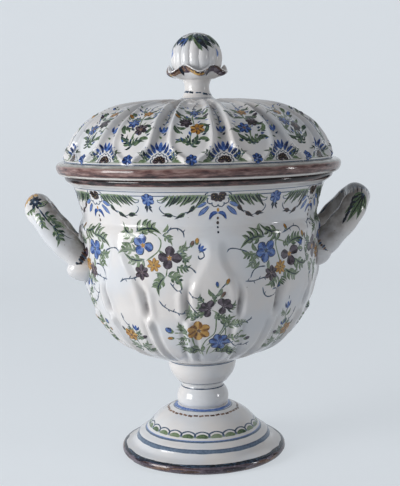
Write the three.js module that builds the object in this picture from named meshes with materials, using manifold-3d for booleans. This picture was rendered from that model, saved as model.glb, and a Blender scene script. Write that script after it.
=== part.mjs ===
// Covered two-handled vase of tin-glazed earthenware, in millimetres, +Z up.
// It stands on the XY plane, its turning axis is Z, the handles lie along X
// and the side with the ogee panel between the handles faces -Y.

import * as THREE from 'three';
import { mergeVertices } from 'three/addons/utils/BufferGeometryUtils.js';
import Module from 'manifold-3d';

const wasm = await Module();
wasm.setup();

// Driving dimensions
const SEAM = 0.3; // layer of glaze and slip between two luted pieces
const WIDE_STEPS = 44; // facets round the mouth, the lid and the collar
const FOOT_STEPS = 36;
const STEM_STEPS = 24;

const FOOT_RADIUS = 72.2;
const FOOT_REST_RADIUS = 67.8;
const FOOT_HEIGHT = 41.8;
const STEM_BORE = 9;
const KNOP_RADIUS = 22.8;
const KNOP_TOP = 59.7;
const SOCKET_RADIUS = 29.8;
const SOCKET_TOP = 83;
const BOWL_TOP = 202.6;
const WALL = 7;
const COLLAR_TOP = 240.4;
const LIP_RADIUS = 115;
const LIP_TOP = 246.7;
const MOUTH_RADIUS = 99;

const LID_RADIUS = 122;
const LID_RIM_TOP = 257.9;
const DOME_TOP = 308.2;
const FLANGE_RADIUS = 97;
const FLANGE_WALL = 5;
const FLANGE_DEPTH = 9;

const PANELS = 8; // raised ogee panels round the bowl
const PANEL_HALF = 12.6; // degrees, straight part of a panel
const NECK_HALF = 1.4; // degrees, where a panel's point melts into the wall
const PANEL_SHOULDER = 163; // height where the arch starts to draw in
const PANEL_POINT = 194;
const FLUTE_FOOT = 136; // height where the deep groove closes to a ridge pair
const PANEL_RISE = 2.4;
const FLUTE_DEPTH = 3.4;
const BEAD_RISE = 1.2;
const BEAD_OFFSET = 4.6; // from the groove to the crest of its rolled edge

const TONGUES = 14; // raised tongue panels round the lid
const LID_TURN = -9.6; // degrees the lid is turned from the front
const TONGUE_RISE = 1.6;
const VALLEY_DEPTH = 2.2;
const ROLL_OFFSET = 3.4; // from the crest of a tongue's rolled border to its foot

const HANDLE_ROLL = 11; // half thickness of the clay roll, seen from the front
const HANDLE_ROLL_SIDE = 9.8; // half thickness the other way
const LEG_SPACING = 42; // between the middles of one handle's two legs
const HANDLE_ROOT = [95, 170]; // [distance from the axis, height]
const HANDLE_BEND = [121.5, 193];
const HANDLE_END = [139.2, 221.6];
const RIGHT_ROOT_LIFT = 6; // the right handle is luted a little higher than the left
const RIGHT_END_LIFT = 2;
const PAD_RADII = [14, 11.4, 11];
const LEFT_PAD = [101, 20.5, 169.4]; // [distance from the axis, to the side, height]
const RIGHT_PAD = [97.6, 20.5, 176];

const CALYX_RADIUS = 26;
const CALYX_LOBES = 6;
const CALYX_RUFFLE = 2.8;
const BALL_RADIUS = 22;
const BALL_CENTRE = 343;
const BALL_LOBES = 16;

const rad = THREE.MathUtils.degToRad;
const smooth = THREE.MathUtils.smoothstep;
const mix = THREE.MathUtils.lerp;

// Colours of the fired glaze and of the painted edges
const GLAZE = 0xe3dcd6;
const EDGE_BROWN = 0x6b4a45;
const HANDLE_GREY = 0xcbc3bd;

function glazed(colour) {
  return new THREE.MeshStandardMaterial({ color: colour, roughness: 0.22, metalness: 0 });
}

// Outlines are lists of [radius, height]; this one runs smoothly through its points.
function flowing(points, steps) {
  const curve = new THREE.SplineCurve(points.map(([r, z]) => new THREE.Vector2(r, z)));
  return curve.getPoints(steps).map((p) => [p.x, p.y]);
}

// A round stretch of an outline, from one angle to another in degrees.
function rounded(r, z, radiusAcross, radiusUp, from, to, steps) {
  const curve = new THREE.EllipseCurve(r, z, radiusAcross, radiusUp, rad(from), rad(to), to < from);
  return curve.getPoints(steps).map((p) => [p.x, p.y]);
}

// Turns faces outwards and drops the slivers that a turned outline leaves on its axis.
function closedBody(geometry) {
  const bare = geometry.clone();
  bare.deleteAttribute('normal');
  bare.deleteAttribute('uv');
  const merged = mergeVertices(bare, 1e-3);
  const place = merged.getAttribute('position');
  const corner = (i) => new THREE.Vector3().fromBufferAttribute(place, i);
  const kept = [];
  let volume = 0;
  const index = merged.getIndex();
  for (let i = 0; i < index.count; i += 3) {
    const [a, b, c] = [index.getX(i), index.getX(i + 1), index.getX(i + 2)];
    if (a === b || b === c || c === a) continue;
    kept.push(a, b, c);
    volume += corner(a).dot(corner(b).cross(corner(c)));
  }
  if (volume < 0) kept.reverse();
  merged.setIndex(kept);
  return merged;
}

// A closed outline turned about the vertical axis; shape(angle, r, z) may move each point.
function turned(outline, steps, shape) {
  const closes = outline[0][0] > 0;
  const points = closes ? [...outline, outline[0]] : outline;
  const lathe = new THREE.LatheGeometry(points.map(([r, z]) => new THREE.Vector2(r, z)), steps);
  lathe.rotateX(Math.PI / 2);
  if (shape) {
    const place = lathe.getAttribute('position');
    for (let i = 0; i < place.count; i += 1) {
      const column = Math.floor(i / points.length) % steps;
      const row = i % points.length;
      const [angle, r, z] = shape(column, row % outline.length, points[row]);
      place.setXYZ(i, r * Math.sin(angle), -r * Math.cos(angle), z);
    }
  }
  return closedBody(lathe);
}

function solidOf(geometry) {
  return new wasm.Manifold(
    new wasm.Mesh({
      numProp: 3,
      vertProperties: Float32Array.from(geometry.getAttribute('position').array),
      triVerts: Uint32Array.from(geometry.getIndex().array),
    }),
  );
}

function geometryOf(solid) {
  const mesh = solid.getMesh();
  const geometry = new THREE.BufferGeometry();
  geometry.setAttribute('position', new THREE.BufferAttribute(mesh.vertProperties, 3));
  geometry.setIndex(new THREE.BufferAttribute(mesh.triVerts, 1));
  return geometry;
}

const vase = new THREE.Group();

function place(parent, name, geometry, colour) {
  const mesh = new THREE.Mesh(geometry, glazed(colour));
  mesh.name = name;
  parent.add(mesh);
  return mesh;
}

// Foot: a thrown, hollow pedestal with a rolled edge, a stepped skirt and a low dome.
const footOutline = [
  [FOOT_REST_RADIUS - 8, 0],
  [FOOT_REST_RADIUS, 0],
  ...rounded(FOOT_REST_RADIUS, 4.2, FOOT_RADIUS - FOOT_REST_RADIUS, 4.2, -60, 40, 3),
  [65, 9.4],
  [60.8, 11.8],
  [58.4, 15.4],
  [56.2, 18.2],
  ...flowing([[51.4, 21.2], [46.4, 26.2], [41.8, 31.6], [33, 37.2], [24.5, 41]], 4),
  [22.6, FOOT_HEIGHT],
  [STEM_BORE, FOOT_HEIGHT],
  [STEM_BORE, 35],
  [30, 30],
  [45, 19],
  [54, 12],
];

// Stem knop: a small thrown ball with a bore, luted on the foot.
const knopOutline = [
  [STEM_BORE, FOOT_HEIGHT + SEAM],
  ...flowing(
    [
      [20.6, FOOT_HEIGHT + SEAM],
      [KNOP_RADIUS, 47.5],
      [22, 53],
      [18.4, KNOP_TOP],
    ],
    6,
  ),
  [STEM_BORE, KNOP_TOP],
];

// Stem socket: a small cup that carries the bowl.
const socketOutline = [
  [STEM_BORE, KNOP_TOP + SEAM],
  [18.2, KNOP_TOP + SEAM],
  [18.6, 61.6],
  [21, 63],
  ...flowing(
    [
      [23.4, 65.4],
      [27.2, 70.8],
      [29.6, 77],
      [SOCKET_RADIUS, SOCKET_TOP],
    ],
    4,
  ),
  [18, SOCKET_TOP],
  [STEM_BORE, 70],
];

place(vase, 'foot', turned(footOutline, FOOT_STEPS), GLAZE);
place(vase, 'stem_knop', turned(knopOutline, STEM_STEPS), GLAZE);
place(vase, 'stem_socket', turned(socketOutline, STEM_STEPS), GLAZE);

// Bowl: pressed in a mould, with eight raised panels that end in ogee points.
// The profile runs through the crown of the panels, from the stem to the ridge.
const bowlProfile = new THREE.SplineCurve(
  [
    [29.6, SOCKET_TOP + SEAM],
    [42, 87.6],
    [57, 93.8],
    [71.4, 102.5],
    [82.2, 113.5],
    [90.3, 127],
    [96.2, 142],
    [100, 158],
    [102, 175],
    [102.4, 190],
    [104.4, BOWL_TOP],
  ].map(([r, z]) => new THREE.Vector2(r, z)),
);
const bowlInside = [
  [104.4 - WALL, BOWL_TOP],
  [93, 158],
  [81.5, 127],
  [62, 104.5],
  [30, 93.5],
  [0, 91.5],
];

// Shares of the profile where its facets meet, closest together where the relief changes.
function ringShares(curve, zones) {
  const shares = [];
  for (const [from, to, count] of zones) {
    for (let i = 0; i < count; i += 1) shares.push(shareAtHeight(curve, mix(from, to, i / count)));
  }
  return [...shares, 1];
}

function shareAtHeight(curve, height) {
  let low = 0;
  let high = 1;
  while (high - low > 1e-5) {
    const middle = (low + high) / 2;
    if (curve.getPoint(middle).y < height) low = middle;
    else high = middle;
  }
  return low;
}

const bowlShares = ringShares(bowlProfile, [
  [SOCKET_TOP + SEAM, FLUTE_FOOT - 6, 5],
  [FLUTE_FOOT - 6, PANEL_SHOULDER - 3, 3],
  [PANEL_SHOULDER - 3, PANEL_POINT + 2, 6],
  [PANEL_POINT + 2, BOWL_TOP, 1],
]);

// Half the width of an ogee panel in degrees, at a height.
function panelHalf(z) {
  const rise = THREE.MathUtils.clamp((z - PANEL_SHOULDER) / (PANEL_POINT - PANEL_SHOULDER), 0, 1);
  return NECK_HALF + ((PANEL_HALF - NECK_HALF) * (1 + Math.cos(Math.PI * rise))) / 2;
}

// How far the bowl stands out at a distance from a panel's edge, positive inside the panel.
function bowlRelief(inward, z) {
  const arch = smooth(z, PANEL_SHOULDER - 8, PANEL_SHOULDER + 6) * (1 - smooth(z, PANEL_POINT - 4, BOWL_TOP - 2));
  const flute = smooth(z, FLUTE_FOOT - 6, FLUTE_FOOT + 6) * (1 - smooth(z, PANEL_SHOULDER - 3, PANEL_SHOULDER + 9));
  const dart = smooth(z, 86, 96) * (1 - smooth(z, FLUTE_FOOT - 2, FLUTE_FOOT + 6));
  const raised = PANEL_RISE * arch * smooth(inward, -2.5, 3.5);
  const groove = Math.exp(-((inward / 2.3) ** 2));
  const bead = Math.exp(-(((Math.abs(inward) - BEAD_OFFSET) / 2) ** 2));
  return raised - (FLUTE_DEPTH * flute + 0.8 * dart) * groove + BEAD_RISE * (flute + 0.8 * dart) * bead;
}

// The columns of facets follow the panels: a middle, its edges with their beads, and the field between.
const BOWL_COLUMNS = 10;
function bowlPlace(column, z, r) {
  const half = panelHalf(z);
  const bead = Math.min(THREE.MathUtils.radToDeg(BEAD_OFFSET / r), half * 0.6);
  const field = 180 / PANELS;
  const stops = [0, half - bead, half, half + bead, (half + bead + field) / 2, field];
  const inPanel = column % BOWL_COLUMNS;
  const mirrored = inPanel > BOWL_COLUMNS / 2;
  const stop = stops[mirrored ? BOWL_COLUMNS - inPanel : inPanel];
  const middle = Math.floor((column + BOWL_COLUMNS / 2 - 1) / BOWL_COLUMNS) * (360 / PANELS);
  return { angle: rad(middle + (mirrored ? -stop : stop)), inward: rad(half - stop) * r };
}

// A turned body whose outer rings carry the bowl's relief, grown outwards by a gap.
function bowlBody(grow, inside) {
  const outer = bowlShares.map((share) => bowlProfile.getPoint(share));
  const across = bowlShares.map((share) => {
    const along = bowlProfile.getTangent(share);
    return new THREE.Vector2(along.y, -along.x);
  });
  const last = outer.length - 1;
  const outline = [[0, SOCKET_TOP + SEAM - grow], ...outer.map((p) => [p.x, p.y]), ...inside];
  return turned(outline, PANELS * BOWL_COLUMNS, (column, row, [r, z]) => {
    const ring = THREE.MathUtils.clamp(row - 1, 0, last);
    const onRelief = row >= 1 && row <= last + 1;
    const { angle, inward } = bowlPlace(column, outer[ring].y, outer[ring].x);
    if (!onRelief) return [angle, r, z];
    const out = bowlRelief(inward, z) + grow;
    const lift = ring === 0 || ring === last ? 0 : out * across[ring].y;
    return [angle, r + out * across[ring].x, z + lift];
  });
}

place(vase, 'bowl', bowlBody(0, bowlInside), GLAZE);

// Collar: the thrown upper wall, from the ridge to the hollow curve under the lip.
const collarOutline = [
  [103.9, BOWL_TOP + SEAM],
  [103.4, 205.4],
  [101.4, 208.2],
  ...flowing(
    [
      [101.2, 211],
      [103, 220.5],
      [105.6, 232],
      [108.2, 237.6],
      [111.6, COLLAR_TOP],
    ],
    5,
  ),
  [MOUTH_RADIUS, COLLAR_TOP],
  [97, 225],
  [96.6, BOWL_TOP + SEAM],
];

// Lip: the turned-out edge of the mouth, flat on top where the lid rests.
const lipOutline = [
  [MOUTH_RADIUS, COLLAR_TOP + SEAM],
  [111.4, COLLAR_TOP + SEAM],
  [114, 243.2],
  [LIP_RADIUS, 245],
  [LIP_RADIUS - 0.8, LIP_TOP],
  [MOUTH_RADIUS + 0.8, LIP_TOP],
  [MOUTH_RADIUS, 245.6],
];

place(vase, 'collar', turned(collarOutline, WIDE_STEPS), GLAZE);
place(vase, 'lip', turned(lipOutline, WIDE_STEPS), EDGE_BROWN);

// Handles: on each side a rolled loop of clay whose two legs are pressed on the bowl under the ridge.
function handlePath(side) {
  const rootLift = side > 0 ? RIGHT_ROOT_LIFT : 0;
  const endLift = side > 0 ? RIGHT_END_LIFT : 0;
  const lean = new THREE.QuadraticBezierCurve(
    new THREE.Vector2(HANDLE_ROOT[0], HANDLE_ROOT[1] + rootLift),
    new THREE.Vector2(HANDLE_BEND[0], HANDLE_BEND[1] + (rootLift + endLift) / 2),
    new THREE.Vector2(HANDLE_END[0], HANDLE_END[1] + endLift),
  );
  const archFrom = 0.6; // share of the rise where the legs turn into the arch
  const points = [];
  for (let i = 0; i <= 5; i += 1) {
    const at = lean.getPoint((archFrom * i) / 5);
    points.push(new THREE.Vector3(side * at.x, -LEG_SPACING / 2, at.y));
  }
  const bendSteps = 4;
  for (let i = 1; i <= bendSteps; i += 1) {
    const bend = ((Math.PI / 2) * i) / bendSteps;
    const at = lean.getPoint(mix(archFrom, 1, Math.sin(bend)));
    points.push(new THREE.Vector3(side * at.x, (-LEG_SPACING / 2) * Math.cos(bend), at.y));
  }
  const back = points
    .slice(0, -1)
    .reverse()
    .map((p) => new THREE.Vector3(p.x, -p.y, p.z));
  return new THREE.CatmullRomCurve3([...points, ...back], false, 'centripetal');
}

function rolledLoop(side) {
  const section = new THREE.Shape();
  section.absellipse(0, 0, HANDLE_ROLL_SIDE, HANDLE_ROLL, 0, Math.PI * 2, false, 0);
  const options = { steps: 26, curveSegments: 5, extrudePath: handlePath(side) };
  return solidOf(closedBody(new THREE.ExtrudeGeometry(section, options)));
}

// Pads: lumps of clay pressed under each leg to hold it on the bowl.
function pad(side, front, grow) {
  const ball = new THREE.SphereGeometry(1, 14, 9);
  ball.rotateX(Math.PI / 2);
  ball.scale(...PAD_RADII.map((radius) => radius + grow));
  const [out, aside, height] = side > 0 ? RIGHT_PAD : LEFT_PAD;
  ball.translate(side * out, front * aside, height);
  return solidOf(closedBody(ball));
}

const bowlShadow = solidOf(bowlBody(SEAM, [[0, BOWL_TOP]]));
for (const [sideName, side] of [['left', -1], ['right', 1]]) {
  const padRoom = pad(side, -1, SEAM).add(pad(side, 1, SEAM));
  const loop = rolledLoop(side).subtract(bowlShadow).subtract(padRoom);
  place(vase, `handle_${sideName}`, geometryOf(loop), HANDLE_GREY);
  for (const [endName, front] of [['front', -1], ['rear', 1]]) {
    const lump = pad(side, front, 0).subtract(bowlShadow);
    place(vase, `handle_${sideName}_${endName}_pad`, geometryOf(lump), GLAZE);
  }
}

// Lid, as a group of its own that lifts off: rim, flange, dome and finial.
const lid = new THREE.Group();
vase.add(lid);
const LID_SEAT = LIP_TOP + SEAM;

const rimOutline = [
  [FLANGE_RADIUS - FLANGE_WALL, LID_SEAT],
  [118.6, LID_SEAT],
  ...rounded(116.4, 253.2, LID_RADIUS - 116.4, 4.7, -62, 75, 5),
  [FLANGE_RADIUS - FLANGE_WALL + 6, LID_RIM_TOP],
];

// Locating flange: the inner ring that keeps the lid centred in the mouth.
const flangeOutline = [
  [FLANGE_RADIUS - FLANGE_WALL, LID_SEAT - SEAM],
  [FLANGE_RADIUS - FLANGE_WALL + 0.8, LID_SEAT - FLANGE_DEPTH],
  [FLANGE_RADIUS - 1, LID_SEAT - FLANGE_DEPTH],
  [FLANGE_RADIUS, LID_SEAT - FLANGE_DEPTH + 1.5],
  [FLANGE_RADIUS, LID_SEAT - SEAM],
];

place(lid, 'lid_rim', turned(rimOutline, WIDE_STEPS), EDGE_BROWN);
place(lid, 'lid_flange', turned(flangeOutline, WIDE_STEPS), GLAZE);

// Dome: pressed in a mould, with raised tongues that widen downwards and end in a bracket shape.
const domeProfile = new THREE.SplineCurve(
  [
    [114.8, LID_RIM_TOP + SEAM],
    [113, 264],
    [109.8, 271],
    [104.2, 280.4],
    [92.8, 291.6],
    [66, 303.6],
    [18, DOME_TOP],
  ].map(([r, z]) => new THREE.Vector2(r, z)),
);
const DOME_RINGS = 12;
const domeInside = [
  [107, LID_RIM_TOP + SEAM],
  [106, 262],
  [96, 279],
  [62, 297],
  [0, DOME_TOP - WALL],
];

// Half the width of a tongue in degrees: narrow end up, then the bracket-shaped lower end.
const TONGUE_END = [
  [259.4, 0.9],
  [261.6, 2],
  [265.5, 3.8],
  [268, 4.5],
  [271.4, 6.6],
  [275, 7.9],
  [281, 8.8],
  [296, 9.9],
  [DOME_TOP, 10.9],
];
function tongueHalf(z) {
  const above = TONGUE_END.findIndex(([height]) => height > z);
  if (above === 0) return TONGUE_END[0][1];
  if (above < 0) return TONGUE_END.at(-1)[1];
  const [[z0, h0], [z1, h1]] = TONGUE_END.slice(above - 1, above + 1);
  return mix(h0, h1, (z - z0) / (z1 - z0));
}

function domeRelief(inward, z, r) {
  const fade = smooth(z, 258, 262) * smooth(r, 18, 40);
  const floor = -VALLEY_DEPTH * (1 - smooth(inward, -ROLL_OFFSET, 0));
  const roll = TONGUE_RISE * Math.exp(-((inward / 1.9) ** 2));
  return fade * (floor + roll);
}

const DOME_COLUMNS = 6;
function domePlace(column, z, r) {
  const field = 180 / TONGUES;
  const half = tongueHalf(z);
  const foot = Math.min(THREE.MathUtils.radToDeg(ROLL_OFFSET / r), (field - half) * 0.7);
  const stops = [0, half, half + foot, field];
  const inTongue = column % DOME_COLUMNS;
  const mirrored = inTongue > DOME_COLUMNS / 2;
  const stop = stops[mirrored ? DOME_COLUMNS - inTongue : inTongue];
  const middle = Math.floor((column + DOME_COLUMNS / 2 - 1) / DOME_COLUMNS) * (360 / TONGUES);
  return { angle: rad(LID_TURN + middle + (mirrored ? -stop : stop)), inward: rad(half - stop) * r };
}

function domeBody() {
  const outer = domeProfile.getPoints(DOME_RINGS).reverse();
  const outline = [[0, DOME_TOP], ...outer.map((p) => [p.x, p.y]), ...domeInside];
  return turned(outline, TONGUES * DOME_COLUMNS, (column, row, [r, z]) => {
    const onRelief = row >= 1 && row <= DOME_RINGS + 1;
    const ring = onRelief ? row - 1 : DOME_RINGS;
    const { angle, inward } = domePlace(column, outer[ring].y, outer[ring].x);
    if (!onRelief) return [angle, r, z];
    const along = domeProfile.getTangent(1 - ring / DOME_RINGS);
    const out = domeRelief(inward, z, r);
    return [angle, r + out * along.y, z - out * along.x];
  });
}

place(lid, 'lid_dome', domeBody(), GLAZE);

// Finial: a short neck, a pinched calyx and a lobed ball, luted one on the other.
const NECK_TOP = 325;
const neckOutline = [
  [0, DOME_TOP + SEAM],
  ...flowing(
    [
      [16.5, DOME_TOP + SEAM],
      [12, 312.6],
      [10.4, 318.6],
      [12.2, NECK_TOP],
    ],
    6,
  ),
  [0, NECK_TOP],
];
place(lid, 'finial_neck', turned(neckOutline, STEM_STEPS), GLAZE);

const CALYX_FLOOR = 330.6;
const calyxOutline = [
  [0, NECK_TOP + SEAM],
  [12.2, NECK_TOP + SEAM],
  [18.5, 327.4],
  [CALYX_RADIUS - 1.4, 331.6],
  [CALYX_RADIUS, 333.6],
  [CALYX_RADIUS - 1.6, 334.8],
  [22, 332],
  [18.6, CALYX_FLOOR],
  [0, CALYX_FLOOR],
];
const calyxSteps = CALYX_LOBES * 6;
place(
  lid,
  'finial_calyx',
  turned(calyxOutline, calyxSteps, (column, row, [r, z]) => {
    const angle = (column / calyxSteps) * Math.PI * 2;
    const wave = Math.cos(angle * CALYX_LOBES) * smooth(r, 18.6, CALYX_RADIUS);
    return [angle, r * (1 + 0.06 * wave), z - CALYX_RUFFLE * wave];
  }),
  GLAZE,
);

const BALL_CUT = Math.asin((CALYX_FLOOR + SEAM - BALL_CENTRE) / BALL_RADIUS);
const ballOutline = [
  [0, CALYX_FLOOR + SEAM],
  ...rounded(0, BALL_CENTRE, BALL_RADIUS, BALL_RADIUS, THREE.MathUtils.radToDeg(BALL_CUT), 84, 9),
  [0, BALL_CENTRE + BALL_RADIUS],
];
const ballSteps = BALL_LOBES * 2;
place(
  lid,
  'finial_ball',
  turned(ballOutline, ballSteps, (column, row, [r, z]) => {
    const angle = (column / ballSteps) * Math.PI * 2;
    const lobe = Math.cos(angle * BALL_LOBES) - 1;
    return [angle, r * (1 + 0.025 * lobe), z];
  }),
  GLAZE,
);

export default vase;
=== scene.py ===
# Covered two-handled vase of tin-glazed, flower-painted earthenware, on a pale table in soft studio light.

import math

import bpy
import numpy as np
from mathutils import Matrix, Vector


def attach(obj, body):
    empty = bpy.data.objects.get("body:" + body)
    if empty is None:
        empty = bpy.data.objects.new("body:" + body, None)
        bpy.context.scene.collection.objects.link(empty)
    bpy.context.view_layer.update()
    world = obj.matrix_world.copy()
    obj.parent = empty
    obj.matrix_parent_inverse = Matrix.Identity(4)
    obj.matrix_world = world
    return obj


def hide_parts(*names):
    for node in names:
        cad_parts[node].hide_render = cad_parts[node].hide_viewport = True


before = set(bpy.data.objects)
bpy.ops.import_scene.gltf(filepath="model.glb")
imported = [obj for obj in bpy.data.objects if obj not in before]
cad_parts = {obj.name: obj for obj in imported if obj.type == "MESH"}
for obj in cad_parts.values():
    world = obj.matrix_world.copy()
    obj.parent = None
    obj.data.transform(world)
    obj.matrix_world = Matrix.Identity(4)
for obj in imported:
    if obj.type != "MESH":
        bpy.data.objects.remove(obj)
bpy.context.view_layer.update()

# Camera: stands a little left of the vase's front, 297 mm high, and looks slightly down.
# The real pot was luted out of true and leans to the left by about one degree. The solids stand straight,
# so the camera is rolled by as much.
CAMERA_DISTANCE = 0.865
CAMERA_HEIGHT = 0.297
CAMERA_TURN = math.radians(-5.9)
CAMERA_DOWN = math.radians(7.4)
POT_LEAN = math.radians(1.1)
FOCAL_PIXELS = 1000.0
FRAME_PIXELS_HIGH = 486.0
SENSOR_HEIGHT = 36

ahead_level = Vector((-math.sin(CAMERA_TURN), math.cos(CAMERA_TURN), 0))
level_right = Vector((math.cos(CAMERA_TURN), math.sin(CAMERA_TURN), 0))
ahead = ahead_level * math.cos(CAMERA_DOWN) - Vector((0, 0, math.sin(CAMERA_DOWN)))
level_up = level_right.cross(ahead)
camera_right = level_right * math.cos(POT_LEAN) - level_up * math.sin(POT_LEAN)
camera_up = level_right * math.sin(POT_LEAN) + level_up * math.cos(POT_LEAN)

lens = bpy.data.cameras.new("camera")
lens.sensor_fit = "VERTICAL"
lens.sensor_height = SENSOR_HEIGHT
lens.lens = SENSOR_HEIGHT * FOCAL_PIXELS / FRAME_PIXELS_HIGH
camera = bpy.data.objects.new("camera", lens)
bpy.context.collection.objects.link(camera)
camera_place = -ahead_level * CAMERA_DISTANCE + Vector((0, 0, CAMERA_HEIGHT))
camera_axes = Matrix((camera_right, camera_up, -ahead)).transposed()
camera.matrix_world = Matrix.Translation(camera_place) @ camera_axes.to_4x4()
bpy.context.scene.camera = camera

# Foot: a thrown, hollow pedestal of buff clay under a tin glaze, with a rolled edge and a stepped skirt.
# It rests on a flat, unglazed ring. Sizes are (radius, height) in millimetres, as for every turned piece.
MM = 0.001
SHARP_CORNER = math.radians(50)
FOOT_OUTSIDE = [(67.8, 0), (70, 0.6), (71.8, 2.6), (72.2, 4.6), (71.2, 6.9), (68.6, 8.5), (65, 9.5),
                (62, 10.8), (60, 13.2), (58.4, 16), (55.6, 18.6), (51.4, 21.2), (46.4, 26.2),
                (41.8, 31.6), (37.6, 34.9), (33, 37.4), (28, 39.6), (24.5, 41), (22, 41.9), (9, 41.9)]
FOOT_INSIDE = [(9, 35), (30, 30), (45, 19), (54, 12), (59.8, 0.3), (60.4, 0)]
FOOT_FINENESS = 0.8
FOOT_STEPS = 240


def spline(points, step):
    """A smooth curve through the points, as (x, y) places about step apart."""
    points = np.array(points, float)
    padded = np.vstack([points[:1], points, points[-1:]])
    places = []
    for i in range(len(points) - 1):
        before, start, end, after = padded[i:i + 4]
        count = max(1, math.ceil(np.linalg.norm(end - start) / step))
        t = np.linspace(0, 1, count, endpoint=False)[:, None]
        leave, arrive = (end - before) / 2, (after - start) / 2
        places.append((2 * start - 2 * end + leave + arrive) * t ** 3
                      + (3 * end - 3 * start - 2 * leave - arrive) * t ** 2 + leave * t + start)
    return np.vstack(places + [points[-1:]])


def run_lengths(line):
    """How far each point of a line lies along it."""
    return np.concatenate([[0], np.cumsum(np.linalg.norm(np.diff(line, axis=0), axis=1))])


def smooth(value, low, high):
    """Rises gently from 0 at low to 1 at high."""
    t = np.clip((value - low) / (high - low), 0, 1)
    return t * t * (3 - 2 * t)


def hump(value, width):
    """A soft ridge, 1 in its middle, that has fallen to a third at width from it."""
    return np.exp(-(value / width) ** 2)


def turned_points(outline, steps):
    """Rows of places round the axis: angle 0 faces the front, -Y, and grows towards +X."""
    angle = np.linspace(0, 2 * math.pi, steps, endpoint=False)
    r, z = np.array(outline).T
    return np.stack([r[:, None] * np.sin(angle), -r[:, None] * np.cos(angle),
                     z[:, None] * np.ones(steps)], axis=2)


def grid_faces(rows, columns, close_rows, close_columns=True):
    """Quads of a grid of points, as corner numbers."""
    i = np.arange(rows if close_rows else rows - 1)[:, None]
    j = np.arange(columns if close_columns else columns - 1)[None, :]
    i2, j2 = (i + 1) % rows, (j + 1) % columns
    corners = [i * columns + j, i * columns + j2, i2 * columns + j2, i2 * columns + j]
    return np.stack([c + 0 * i + 0 * j for c in corners], axis=2).reshape(-1, 4)


def new_piece(name, vertices, faces, body, material, nodes=()):
    """One piece of the vase from places in millimetres, smooth but for real corners."""
    mesh = bpy.data.meshes.new(name)
    mesh.from_pydata((np.array(vertices) * MM).tolist(), [], np.array(faces).tolist())
    mesh.validate()
    mesh.shade_smooth()
    mesh.set_sharp_from_angle(angle=SHARP_CORNER)
    piece = bpy.data.objects.new(name, mesh)
    bpy.context.collection.objects.link(piece)
    mesh.materials.append(material)
    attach(piece, body)
    if nodes:
        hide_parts(*nodes)
    return piece


def mark(piece, name, values):
    """Keeps a number at each point of a piece, which its material reads by this name."""
    numbers = piece.data.attributes.new(name, "FLOAT", "POINT").data
    numbers.foreach_set("value", np.array(values, float).ravel())


def outward(vertices, faces):
    """The faces of a closed body, turned to face outwards."""
    corner = np.array(vertices)[np.array(faces)]
    cross = np.cross(corner[:, 2] - corner[:, 0], corner[:, 3] - corner[:, 1])
    volume = (corner.mean(axis=1) * cross).sum()
    return faces if volume > 0 else np.array(faces)[:, ::-1]


def turned(name, outline, steps, body, material, nodes):
    """A closed outline turned about the axis."""
    vertices = turned_points(outline, steps).reshape(-1, 3)
    faces = outward(vertices, grid_faces(len(outline), steps, True))
    return new_piece(name, vertices, faces, body, material, nodes)


def linear(code):
    """An sRGB hex colour as linear red, green, blue and alpha."""
    parts = [int(code[i:i + 2], 16) / 255 for i in (1, 3, 5)]
    return [c / 12.92 if c <= 0.04045 else ((c + 0.055) / 1.055) ** 2.4 for c in parts] + [1.0]


def add(material, kind, settings=None, **links):
    """Adds a node with its settings and links. A link is named for its socket, or at and its number.
    Stops are the places and hex colours of a colour ramp."""
    node = material.node_tree.nodes.new(kind)
    for name, value in (settings or {}).items():
        if name == "stops":
            for _ in value[2:]:
                node.color_ramp.elements.new(0.5)
            for element, (place, code) in zip(node.color_ramp.elements, value):
                element.position = place
                element.color = linear(code)
        elif isinstance(name, int) or name in node.inputs:
            node.inputs[name].default_value = value
        else:
            setattr(node, name, value)
    for name, source in links.items():
        socket = int(name[2:]) if name.startswith("at") else name.replace("_", " ")
        material.node_tree.links.new(source, node.inputs[socket])
    return node


def new_material(name):
    """A material with no nodes in it yet."""
    material = bpy.data.materials.new(name)
    material.use_nodes = True
    material.node_tree.nodes.clear()
    return material


# Tin glaze: a lead glaze made opaque with tin oxide, fired to a thick gloss. It is greyed in the hollows, by
# its pooling and by painted shade, and keeps dark pinholes where gas broke through. The orange peel and
# the pinholes are drawn coarser than real ones, so that they show. Lengths and depths are in millimetres.
GLAZE_IOR = 1.52
GLOSSIEST = 0.06
DULLEST = 0.17
WAVE_LENGTH = 14
WAVE_DEPTH = 0.4
PEEL_LENGTH = 2.4
PEEL_DEPTH = 0.05
CLOUD_LENGTH = 38
BLOT_LENGTH = 8
PINHOLE_SPACING = 9
CLOUD_COLOURS = ((0.36, "#dadcdf"), (0.62, "#e3dfdc"))
# The grey of the glaze's pooling and of the painted shade in the hollows.
POOL_AND_SHADE_GREY = "#938f8f"
PINHOLE_BROWN = "#5c4640"

# A Mix node has sockets for every kind of value: its colours are numbers 6 and 7, and its result number 2.
MIX_OVER = 7
MIX_RESULT = 2


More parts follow.
